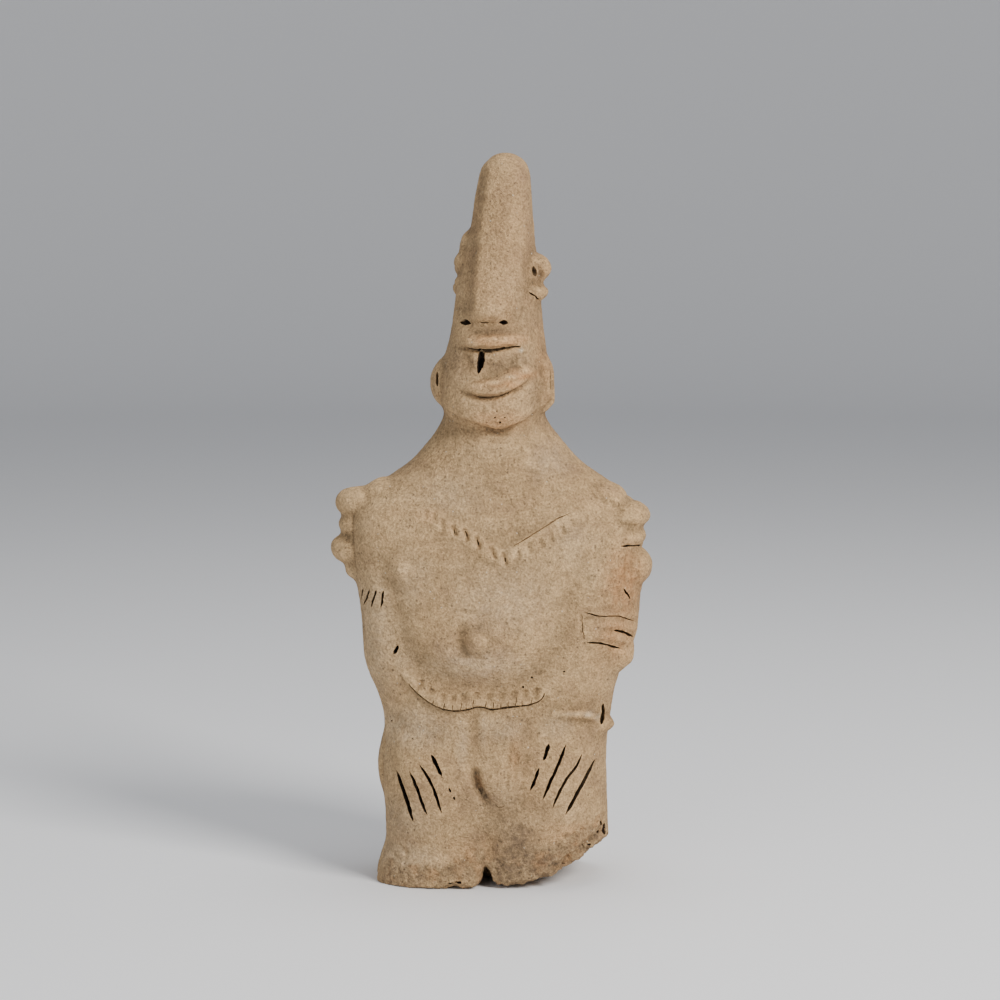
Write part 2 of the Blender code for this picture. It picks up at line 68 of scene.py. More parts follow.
def deselectAll():
    bpy.ops.object.select_all(action="DESELECT")


def useOnly(thing):
    deselectAll()
    thing.select_set(True)
    bpy.context.view_layer.objects.active = thing


def turnOutward(thing):
    useOnly(thing)
    bpy.ops.object.mode_set(mode="EDIT")
    bpy.ops.mesh.select_all(action="SELECT")
    bpy.ops.mesh.normals_make_consistent(inside=False)
    bpy.ops.object.mode_set(mode="OBJECT")
    return thing


# draws a flat sheet out into a closed solid
def drawOut(sheet, move):
    useOnly(sheet)
    bpy.ops.object.mode_set(mode="EDIT")
    bpy.ops.mesh.select_all(action="SELECT")
    bpy.ops.mesh.extrude_region_move(TRANSFORM_OT_translate={"value": move})
    bpy.ops.object.mode_set(mode="OBJECT")
    return turnOutward(sheet)


def pointsOf(thing, field="place"):
    source = thing.data.vertices if field == "place" else thing.data.vertex_normals
    found = np.empty(len(thing.data.vertices) * 3)
    source.foreach_get("co" if field == "place" else "vector", found)
    return found.reshape(-1, 3)


def setPoints(thing, points):
    thing.data.vertices.foreach_set("co", np.ascontiguousarray(points).ravel())
    thing.data.update()


def applyAll(thing):
    useOnly(thing)
    for modifier in list(thing.modifiers):
        bpy.ops.object.modifier_apply(modifier=modifier.name)


def joinAll(things, name):
    useOnly(things[0])
    for thing in things:
        thing.select_set(True)
    if len(things) > 1:
        bpy.ops.object.join()
    things[0].name = name
    return things[0]


def ease(value):
    t = np.clip(value, 0, 1)
    return t * t * (3 - 2 * t)


# values at these places on a smooth curve through the stations
def follow(stations, at):
    knots, values = stations[:, 0], stations[:, 1:]
    slopes = np.gradient(values, knots, axis=0)
    k = np.clip(np.searchsorted(knots, at) - 1, 0, len(knots) - 2)
    span = (knots[k + 1] - knots[k])[:, None]
    t = (at - knots[k])[:, None] / span
    return (
        (2 * t**3 - 3 * t**2 + 1) * values[k]
        + (t**3 - 2 * t**2 + t) * span * slopes[k]
        + (3 * t**2 - 2 * t**3) * values[k + 1]
        + (t**3 - t**2) * span * slopes[k + 1]
    )


def smoothPath(spots, count):
    spots = np.array(spots, float)
    if len(spots) == 2:
        return spots[0] + np.linspace(0, 1, count)[:, None] * (spots[1] - spots[0])
    steps = np.linalg.norm(np.diff(spots, axis=0), axis=1)
    along = np.concatenate([[0], np.cumsum(steps)])
    return follow(np.column_stack([along, spots]), np.linspace(0, along[-1], count))


# a cylinder cut into even rings, ready to be drawn out into a mass, a coil or a blade
def ringedTube(name, around, rows):
    deselectAll()
    bpy.ops.mesh.primitive_cylinder_add(vertices=around, radius=1, depth=2, end_fill_type="NGON")
    tube = bpy.context.object
    tube.name = name
    bpy.ops.object.mode_set(mode="EDIT")
    bpy.ops.mesh.select_mode(type="EDGE")
    bpy.ops.mesh.select_all(action="DESELECT")
    shape = bmesh.from_edit_mesh(tube.data)
    for edge in shape.edges:
        edge.select_set(abs(edge.verts[0].co.z - edge.verts[1].co.z) > 1)
    bmesh.update_edit_mesh(tube.data)
    bpy.ops.mesh.subdivide(number_cuts=rows - 2)
    bpy.ops.mesh.select_mode(type="VERT")
    bpy.ops.object.mode_set(mode="OBJECT")
    return tube


def drawRings(tube, rings):
    rows, around = rings.shape[:2]
    x, y, z = pointsOf(tube).T
    row = np.rint((z + 1) / 2 * (rows - 1)).astype(int)
    step = np.rint(np.arctan2(y, x) / (2 * math.pi) * around).astype(int) % around
    setPoints(tube, rings[row, step])
    return turnOutward(tube)


def ball(centre, radii, segments=24):
    deselectAll()
    bpy.ops.mesh.primitive_uv_sphere_add(
        segments=segments, ring_count=segments * 2 // 3, radius=1, location=centre, scale=radii)
    made = bpy.context.object
    bpy.ops.object.transform_apply(location=True, rotation=True, scale=True)
    return made


# pushes every point a little way about, so nothing rolled or cut by hand is even
def wobble(thing, amount, size):
    points = pointsOf(thing)
    for k, point in enumerate(points):
        points[k] += amount * np.array(noise.noise_vector(Vector(point / size)))
    setPoints(thing, points)
    return thing


# a coil laid along places on the skin; wide and thick are its half sizes across the skin and off it
def coil(places, wide, thick, around=20):
    points = np.array([tuple(point) for point, _ in places])
    normals = np.array([tuple(normal) for _, normal in places])
    share = np.linspace(0, 1, len(points))
    wide = np.interp(share, np.linspace(0, 1, np.size(wide)), np.atleast_1d(wide))
    thick = np.interp(share, np.linspace(0, 1, np.size(thick)), np.atleast_1d(thick))
    steps = np.linalg.norm(np.diff(points, axis=0), axis=1)
    along = np.concatenate([[0], np.cumsum(steps)])
    gap = np.minimum(along, along[-1] - along)
    dome = np.sqrt(np.clip(1 - (1 - np.clip(gap / wide, 0, 1)) ** 2, 0.01, 1))
    tangents = np.gradient(points, axis=0)
    angle = np.linspace(0, 2 * math.pi, around, endpoint=False)
    rings = np.empty((len(points), around, 3))
    for k, tangent in enumerate(tangents):
        tangent = tangent / np.linalg.norm(tangent)
        off = normals[k] - (normals[k] @ tangent) * tangent
        off /= np.linalg.norm(off)
        across = np.cross(off, tangent)
        rings[k] = (
            points[k]
            + np.outer(np.cos(angle) * wide[k] * dome[k], across)
            + np.outer(np.sin(angle) * thick[k] * dome[k], off)
        )
    return drawRings(ringedTube("coil", around, len(points)), rings)


# presses the parts into one closed skin of even grain and rubs the joins smooth
def fuse(parts, grain, smoothing):
    clay = joinAll(parts, "figureClay")
    remesh = clay.modifiers.new("grain", "REMESH")
    remesh.mode = "VOXEL"
    remesh.voxel_size = grain
    rub = clay.modifiers.new("rub", "SMOOTH")
    rub.factor = 0.5
    rub.iterations = smoothing
    applyAll(clay)
    return clay


def carve(clay, cutters, name):
    tool = joinAll(cutters, name)
    cut = clay.modifiers.new(name, "BOOLEAN")
    cut.operation = "DIFFERENCE"
    cut.solver = "MANIFOLD"
    cut.object = tool
    applyAll(clay)
    bpy.data.objects.remove(tool)


# the body's masses; each station is height, then the reach left, right, front and back, and squareness
body = {
    "stations": np.array([
        (-8, 62, 61, 37, 38, 3.0), (4, 60.4, 61.6, 39, 39, 3.0), (17, 56.2, 62.4, 40, 40, 3.0),
        (35, 56, 61.6, 42, 41, 3.0), (62, 57.2, 60.5, 43, 42, 2.9), (82, 56.4, 62, 40, 40, 2.8),
        (94, 58.6, 64, 39, 39, 2.7), (112, 65.8, 68.8, 40, 40, 2.8), (128, 67.6, 76, 42, 41, 2.8),
        (145, 68.8, 78, 42, 41, 3.0), (170, 72, 76.5, 39.5, 39, 3.3), (188, 73, 74.5, 36.5, 36, 3.4),
        (200, 68.5, 71, 33, 33, 3.2), (208.5, 58, 62, 29.5, 31, 2.6), (218, 44.5, 48.5, 28, 29, 2.2),
        (229, 33.5, 38.5, 26, 27, 2.0), (241, 25.5, 29.5, 23.5, 24, 2.0), (258, 20, 22, 19, 19, 2.0)]),
}
head = {
    "stations": np.array([
        (236, 22, 22, 29, 29, 2.2), (248, 26, 26, 34, 34, 2.3), (263, 27, 27, 33.5, 33.5, 2.4),
        (280, 25, 25, 30, 30, 2.4), (292, 23, 23, 28, 28, 2.4), (305, 21.5, 21.5, 26, 26, 2.4),
        (322, 19, 19, 22, 22, 2.6), (339, 15.6, 16.8, 19, 19, 2.9), (358, 14.0, 14.8, 16.5, 16.5, 3.0),
        (380, 11.4, 11.6, 13, 13, 2.8)]),
    "nose": np.array([
        (293.5, 13, 15, 34.6, 0, 2.8), (300, 14, 15.5, 34.2, 0, 3.0), (311, 14, 17, 30.8, 0, 3.1),
        (328, 14, 17.5, 25, 0, 3.0), (346, 12.5, 15, 19.4, 0, 3.0), (362, 11, 12.5, 16, 0, 3.0)]),
    "turn": math.radians(-10),
    "faceMiddle": {front: -3.6, back: 8.0},  # where each face's middle line stands, along X
    "lean": ((250, 1.8), (290, 3.2), (340, 5.0), (380, 7.4)),  # the axis's place along X at these heights
}


def loftMass(name, stations, roundTop=0, roundBottom=0, rows=150, around=144):
    low, high = stations[0, 0], stations[-1, 0]
    heights = low + (high - low) * (0.5 - 0.5 * np.cos(np.linspace(0, math.pi, rows)))
    angle = np.linspace(0, 2 * math.pi, around, endpoint=False)
    c, s = np.cos(angle), np.sin(angle)
    rings = np.empty((rows, around, 3))
    for k, (left, right, ahead, behind, square) in enumerate(follow(stations, heights)):
        dome = 1.0
        for rounding, gap in ((roundTop, high - heights[k]), (roundBottom, heights[k] - low)):
            if gap < rounding:
                dome *= math.sqrt(1 - (1 - gap / rounding) ** 2)
        dome = max(dome, 0.02)
        rings[k, :, 0] = np.where(c > 0, right, left) * np.sign(c) * np.abs(c) ** (2 / square) * dome
        rings[k, :, 1] = np.where(s > 0, behind, ahead) * np.sign(s) * np.abs(s) ** (2 / square) * dome
        rings[k, :, 2] = heights[k]
    return drawRings(ringedTube(name, around, rows), rings)


# how far right of the middle the head's axis stands at this height
def headAxis(height):
    heights, places = np.array(head["lean"]).T
    return np.interp(height, heights, places)


def leanAndTurn(part, turn):
    c, s = math.cos(turn), math.sin(turn)
    x, y, z = pointsOf(part).T
    setPoints(part, np.column_stack([c * x - s * y + headAxis(z), s * x + c * y, z]))
    return part


def faceTurn(side):
    return head["turn"] if side == front else head["turn"] + math.pi


def makeMasses():
    made = [
        loftMass("torso", body["stations"]),
        leanAndTurn(loftMass("head", head["stations"], 11, 9), head["turn"]),
    ]
    for side in (front, back):
        nose = loftMass("nose", head["nose"], roundBottom=2.5, rows=60, around=72)
        made.append(leanAndTurn(nose, faceTurn(side)))
    return fuse(made, clayWork["massGrain"], 16)


# the skin of the clay: finds places on it, and works it in or out
class ClaySkin:
    def __init__(self, clay):
        self.clay = clay
        self.points = pointsOf(clay)
        self.normals = pointsOf(clay, "normal")
        self.tree = BVHTree.FromObject(clay, bpy.context.evaluated_depsgraph_get())

    def onBody(self, x, z, side):
        x = x if side == front else -x  # the back figure's left is the front one's right
        point, normal, _, _ = self.tree.ray_cast(Vector((x, side * 200, z)), Vector((0, -side, 0)))
        if point is None:
            point, normal, _, _ = self.tree.find_nearest(Vector((x, side * 15, z)))
        return point, normal

    def onFlank(self, side, y, z):
        point, normal, _, _ = self.tree.ray_cast(Vector((side * 200, y, z)), Vector((-side, 0, 0)))
        return point, normal

    def onHead(self, around, z, turn):
        angle = math.radians(around) + turn
        outward = Vector((math.sin(angle), -math.cos(angle), 0))
        axis = Vector((float(headAxis(z)), 0, z))
        point, normal, _, _ = self.tree.ray_cast(axis + outward * 150, -outward)
        return point, normal

    def alongBody(self, spots, side, count=24):
        return [self.onBody(x, z, side) for x, z in smoothPath(spots, count)]

    def onFace(self, across, z, side):
        x = head["faceMiddle"][side] - side * across
        return self.onBody(x if side == front else -x, z, side)

    def alongFace(self, spots, side, count=24):
        return [self.onFace(across, z, side) for across, z in smoothPath(spots, count)]

    def alongHead(self, spots, turn, count=24):
        places = []
        for around, z, lift in smoothPath(spots, count):
            point, normal = self.onHead(around, z, turn)
            places.append((point + normal * lift, normal))
        return places

    # One height fades out at both ends of the path; more are spread along it. With its own width below
    # the line, a stroke makes a ledge: a soft slope that ends in a sharp lower edge.
    def stroke(self, places, width, *heights, below=0):
        path = np.array([tuple(point) for point, _ in places])
        reach = 2.6 * width
        inside = (self.points > path.min(axis=0) - reach) & (self.points < path.max(axis=0) + reach)
        near = np.flatnonzero(inside.all(axis=1))
        points, normals = self.points[near], self.normals[near]
        best, share = np.full(len(near), np.inf), np.zeros(len(near))
        upper = np.zeros(len(near), bool)
        for k, (a, b) in enumerate(zip(path[:-1], path[1:])):
            along = np.clip((points - a) @ (b - a) / ((b - a) @ (b - a) + 1e-9), 0, 1)
            off = points - a - along[:, None] * (b - a)
            gap = np.linalg.norm(off, axis=1)
            nearer = gap < best
            best[nearer] = gap[nearer]
            share[nearer] = (k + along[nearer]) / (len(path) - 1)
            upper[nearer] = (np.cross(b - a, off[nearer]) * normals[nearer]).sum(axis=1) > 0
        if len(heights) == 1:
            height = heights[0] * np.sqrt(np.clip(1 - (2 * share - 1) ** 4, 0, 1))
        else:
            height = np.interp(share, np.linspace(0, 1, len(heights)), heights)
        widths = np.where(upper, width, below or width)
        self.points[near] += normals * (height * np.exp(-((best / widths) ** 2)))[:, None]

    def line(self, spots, side, count, width, *heights, below=0):
        self.stroke(self.alongBody(spots, side, count), width, *heights, below=below)

    # pares the head flat on one side of a corner line that runs down the face: (across, z) places
    def pare(self, corner, slope, side):
        across, heights = np.array(corner).T
        x, y, z = self.points.T
        line = np.interp(z, heights, across)
        ahead = np.interp(z, heights, [side * self.onFace(u, h, side)[0].y for u, h in corner])
        gap = line - side * (head["faceMiddle"][side] - x)
        flat = ahead - slope * np.clip(gap, 0, None)
        share = ease(gap / 2.6) * ease((14 - gap) / 3)
        share *= ease((z - heights[0]) / 8) * ease((heights[-1] - z) / 8)
        excess = np.clip(side * y - flat, 0, 12) * share * (side * y > 3)
        self.points[:, 1] -= side * excess

    def swell(self, centre, reach, height):
        gap = np.linalg.norm((self.points - np.array(tuple(centre))) / np.array(reach), axis=1)
        self.points += self.normals * (height * (1 - ease(gap)))[:, None]

    def commit(self):
        setPoints(self.clay, self.points)


# swells and hollows thumbed into the bare masses: (x, z) on the skin
thumbed = {
    "belly": {"spot": (-3, 131), "reach": (46, 48, 42), "height": 5.4},
    "bellyEdge": [
        (-54, 172), (-51.5, 161), (-49.8, 144), (-43.6, 126), (-29.5, 113.4), (-11.9, 106.4),
        (11, 107.6), (25, 116.4), (33.9, 129), (39.2, 145), (43.6, 158), (48, 170)],
    "bellyEdgeDepth": 3.5,
    "noseCorner": ((294, -5.2), (308, -4.0), (331, -1.8), (354, 0.8), (376, 2.8)),
    "hands": ((-38, 58), (38, 61)),
    "handHeight": 3.2,
    "faceRolls": ((0, 285, 6, 1.1), (0, 261, 7, 1.3), (3, 250, 9, 1.2)),
}


def thumbBroadForms(clay):
    skin = ClaySkin(clay)
    for side in (front, back):
        plain = 1.0 if side == front else 0.8
        belly = thumbed["belly"]
        skin.swell(skin.onBody(*belly["spot"], side)[0], belly["reach"], belly["height"] * plain)
        deep = -thumbed["bellyEdgeDepth"] * plain
        shares = (0.3, 0.9, 1, 1, 1, 1, 0.8, 0.3)
        skin.line(thumbed["bellyEdge"], side, 60, 8.5, *(share * deep for share in shares))
        for x, z in thumbed["hands"]:
            skin.swell(skin.onBody(x, z, side)[0], (27, 34, 36), thumbed["handHeight"])
        skin.line([(-8.6, 92), (-8.6, 76), (-8, 62)], side, 24, 2.6, -1.2 * plain)
        skin.line([(18.6, 90), (18.4, 72), (15, 54)], side, 24, 4, -0.5 * plain)
        skin.swell(skin.onBody(5, 55, side)[0], (12.5, 16, 17), 2.6)
        skin.line([(0.5, 50), (0, 30), (-1, -7)], side, 24, 6, -0.2, -1.6, -2.6, -4.5)  # between the legs
        skin.line([(-58, 92), (-38, 83), (-22, 81)], side, 24, 5, -1.2)  # the wrist
        for around, z, width, height in thumbed["faceRolls"]:
            arc = [(a, z + 0.04 * abs(a) - 0.6, 0) for a in (-50, -25, around, 25, 50)]
            skin.stroke(skin.alongHead(arc, faceTurn(side)), width, height)
        if side == front:
            skin.pare([(across, z) for z, across in thumbed["noseCorner"]], 1.8, side)
    for flank, y in ((-1, -16), (1, -14)):  # the seam between the two figures
        groove = [skin.onFlank(flank, y + 0.07 * (190 - z), z) for z in range(156, -7, -6)]
        skin.stroke(groove, 4.4, 0.0, -2.6, -3.4, -3.8, -4.4, -4.6, -4.0)
    skin.swell((-57, 14, 58), (22, 27, 26), 3.8)  # the back figure's leg
    skin.commit()


# studs on the shoulders and arms: x, y, z, then the radii along X, Y and Z
studs = {
    "left": (
        (-55.5, -7, 202, 11, 14, 9.6), (-69, -6, 198.6, 12.4, 13, 8.4), (-67.4, -6, 187, 12.6, 14, 6.8),
        (-72, -6, 174.4, 12.2, 13, 8), (-68, -6, 164, 8.4, 11, 6.4)),
    "right": (
        (59, -9, 200, 12, 16, 9.6), (70, -10, 192.4, 12.8, 16, 7.6), (68.5, -10, 181.6, 12.4, 16, 6.6),
        (72.5, -9, 166, 11.8, 15, 10.6), (70, -8, 154.6, 8.4, 13, 6.6)),
    "behind": (
        (-67, 16, 195, 8, 9, 7.4), (-72, 15, 181, 7.4, 9, 7), (-70, 15, 167, 6, 8, 6.4),
        (69, 16, 193, 8.4, 9, 7.6), (74, 15, 176, 6.6, 9, 8), (71, 15, 162, 6, 8, 6.4)),
}


# eyes as lobes beside each face: x, y, z, then radii; the plain pair stands at both sides of the back face
eyes = {
    "left": ((-8, 0, 331.5, 8.8, 8, 9.4), (-9, -1, 323.2, 10.8, 9, 6.4), (-9, -3, 312.6, 10.2, 10, 5.8)),
    "right": ((20, -6, 320, 11.6, 10, 8.2), (20, -7, 307.6, 10, 10, 5.4)),
    "plain": (
        (20, 7, 320, 9.4, 10, 7.2), (-10, 7, 320, 9.8, 10, 7.2), (20, 7, 308.6, 9, 10, 5.2),
        (-11, 7, 309, 9.4, 10, 5.2)),
}
ears = {
    "lobes": ((-19.5, -2, 260.5, 12.4, 15, 14.5), (-19, 8, 260, 12, 12, 13.6), (21, 9, 260, 12, 12, 13.6)),
    "root": ((14, 280), (26.6, 275), (30, 269.4), (31, 262), (31, 255), (27, 248.6), (14, 244)),
    "plate": (
        (20, 281), (28.6, 276), (31.4, 270.6), (32.4, 266), (32.2, 260), (32.8, 252.2), (32.2, 250.4),
        (28.8, 246), (20, 244)),
}


# a flat slab of clay, cut to an outline seen from the front
def cutSlab(outline, nearY, farY):
    deselectAll()
    bpy.ops.mesh.primitive_circle_add(vertices=len(outline), radius=1, fill_type="NGON")
    slab = bpy.context.object
    setPoints(slab, np.array([(x, nearY, z) for x, z in outline]))
    return drawOut(slab, (0, farY - nearY, 0))


def rollLumps(table, amount, size):
    return [wobble(ball(lump[:3], lump[3:]), amount, size) for row in table.values() for lump in row]


def layEars():
    return [ball(lobe[:3], lobe[3:]) for lobe in ears["lobes"]] + [cutSlab(ears["root"], -16, 8)]


def putOnLumps(clay):
    lumps = rollLumps(studs, 0.9, 7) + rollLumps(eyes, 0.6, 5) + layEars()
    return fuse([clay] + lumps, clayWork["studGrain"], 9)


# what each figure wears, as (x, z) lines on its skin
dress = {
    "necklace": [
        (-40, 197), (-22, 189.4), (-12.6, 184.8), (-6.9, 181), (1.3, 175.8), (7.1, 173.4), (12, 175.6),
        (20, 181), (44, 195.5)],
    "necklaceWide": 4.4,
    "necklaceThick": (0.5, 1.3, 1.8, 2.2, 2.0, 1.5, 0.5),
    "bracelet": [(31, 91.6), (40, 91.8), (48.6, 90.6), (54, 88.4)],
    "braceletWide": (1.4, 2.4, 2.9, 2.5),
    "braceletThick": (1.6, 3.4, 4.2, 3.2),
}


def layDress(skin, side):
    necklace = skin.alongBody(dress["necklace"], side, 60)
    parts = [wobble(coil(necklace, dress["necklaceWide"], dress["necklaceThick"]), 0.4, 8)]
    if side == front:
        bracelet = skin.alongBody(dress["bracelet"], side, 40)
        parts.append(wobble(coil(bracelet, dress["braceletWide"], dress["braceletThick"]), 0.3, 6))
    return parts


def dressFigure(clay):
    skin = ClaySkin(clay)
    parts = [clay, wobble(cutSlab(ears["plate"], -11, 3), 0.3, 6)]
    for side in (front, back):
        parts += layDress(skin, side)
    return fuse(parts, clayWork["fineGrain"], 4)


# the broken underside: height of its edge across the front, and the loss from the knees' front face
underside = {
    "edgeX": (
        -24, -18.5, -16, -13, -8, -5.8, -4.4, -3.4, -2.4, -1.2, 0.6, 3, 6, 16, 24, 34, 45, 54, 60, 63,
        85),
    "edgeZ": (
        0, 1.8, 0.6, 0.8, 1.6, 3.0, 7, 13, 14, 9.4, 5.4, 3.2, 2.4, 2.8, 4.4, 8.4, 15.4, 22.6, 26.4, 29,
        50),
    "kneeX": (-75, -50, -30, -12, -2, 6, 20, 40, 60, 85),
    "kneeZ": (1.5, 2, 2.5, 3, 3, 3, 4, 6, 6, 5),
    "roughness": 1.1,
    "step": 1.1,
    "reach": (-80, 90, -60, 58),  # least and greatest X, then Y, of what breaks it away
    "deep": 60,
    "top": 62,  # nothing above this height is broken
}


def brokenFloor(x, y):
    height = float(np.interp(x, underside["edgeX"], underside["edgeZ"])) - 0.1 * (y + 42)
    if -8 < x < 4:  # the notch closes towards the back
        height *= 1 - float(ease((y + 22) / 16))
    loss = float(np.interp(x, underside["kneeX"], underside["kneeZ"])) * (1 - float(ease((y + 44) / 12)))
    height = max(height, 0) + loss
    if height < 0.4:
        return 0.0
    coarse = noise.noise(Vector((x * 0.16, y * 0.16, 3.1)))
    fine = noise.noise(Vector((x * 0.4, y * 0.4, 8.7)))
    return max(0.0, height + underside["roughness"] * (coarse + 0.6 * fine))


def breakUnderside(clay):
    lowX, highX, lowY, highY = underside["reach"]
    step = underside["step"]
    deselectAll()
    bpy.ops.mesh.primitive_grid_add(
        x_subdivisions=int((highX - lowX) / step), y_subdivisions=int((highY - lowY) / step), size=1)
    breaker = bpy.context.object
    points = pointsOf(breaker)
    points[:, 0] = lowX + (points[:, 0] + 0.5) * (highX - lowX)
    points[:, 1] = lowY + (points[:, 1] + 0.5) * (highY - lowY)
    points[:, 2] = [brokenFloor(x, y) for x, y, _ in points]
    setPoints(breaker, points)
    carve(clay, [drawOut(breaker, (0, 0, -underside["deep"]))], "breaker")
    return fuse([clay], clayWork["fineGrain"], 1)


# where the fired skin has spalled off above the break: (x, height that it reaches)
spall = {
    "x": (-75, -60, -40, -20, -4, 8, 20, 32, 44, 56, 85),
    "z": (8, 12, 17, 20, 24, 16, 24, 30, 34, 38, 38),
    "depth": (0.4, 0.4, 0.5, 0.5, 0.5, 0.4, 0.7, 1.0, 1.2, 1.3, 1.3),
    "crumbHeight": 2.8,
    "gritHeight": 1.4,
}


def spallMask(points):
    x, y, z = points.T
    uneven = np.array([noise.noise(Vector(p * 0.09)) + 0.5 * noise.noise(Vector(p * 0.3)) for p in points])
    top = np.interp(x, spall["x"], spall["z"]) + 9 * uneven
    return ease((top - z) / 6) * ease((-y - 14) / 12)


def distances(tree, points):
    return [tree.find_nearest(Vector(point))[3] for point in points]


# measures only the points that are low enough to be broken
def measureLow(points, measure):
    found = np.zeros(len(points))
    low = np.flatnonzero(points[:, 2] < underside["top"])
    found[low] = measure(points[low])
    return found


def addDisplace(clay, name, size, strength, basis="BLENDER_ORIGINAL", depth=1, group=""):
    texture = bpy.data.textures.new(name, "CLOUDS")
    texture.noise_scale = size
    texture.noise_depth = depth
    texture.noise_basis = basis
    push = clay.modifiers.new(name, "DISPLACE")
    push.texture = texture
    push.strength = strength
    push.texture_coords = "LOCAL"
    push.vertex_group = group


def setGroup(clay, name, weights):
    group = clay.vertex_groups.get(name) or clay.vertex_groups.new(name=name)
    levels = np.rint(np.clip(weights, 0, 1) * 50).astype(int)
    for level in np.unique(levels):
        if level:
            group.add(np.flatnonzero(levels == level).tolist(), level / 50, "REPLACE")


def roughenSkin(clay, unbroken):
    skin = ClaySkin(clay)
    mask = measureLow(skin.points, spallMask)
    loss = np.interp(skin.points[:, 0], spall["x"], spall["depth"]) * mask
    skin.points -= skin.normals * loss[:, None]
    skin.commit()
    broken = measureLow(skin.points, lambda points: distances(unbroken, points))
    lifted = ease((skin.points[:, 2] - 0.2) / 1.2)  # leaves the resting face flat
    broken = ease((broken - 0.7) / 1.6) * lifted
    setGroup(clay, "crumbly", np.maximum(mask * 0.6 * lifted, broken))
    addDisplace(clay, "thumbMarks", 26, 1.3)
    addDisplace(clay, "unevenness", 8, 0.55, depth=2)
    addDisplace(clay, "sand", 2.2, 0.28, depth=2)
    addDisplace(clay, "crumbs", 4.2, spall["crumbHeight"], "VORONOI_F1", 1, "crumbly")
    addDisplace(clay, "grit", 1.9, spall["gritHeight"], "BLENDER_ORIGINAL", 2, "crumbly")
    applyAll(clay)


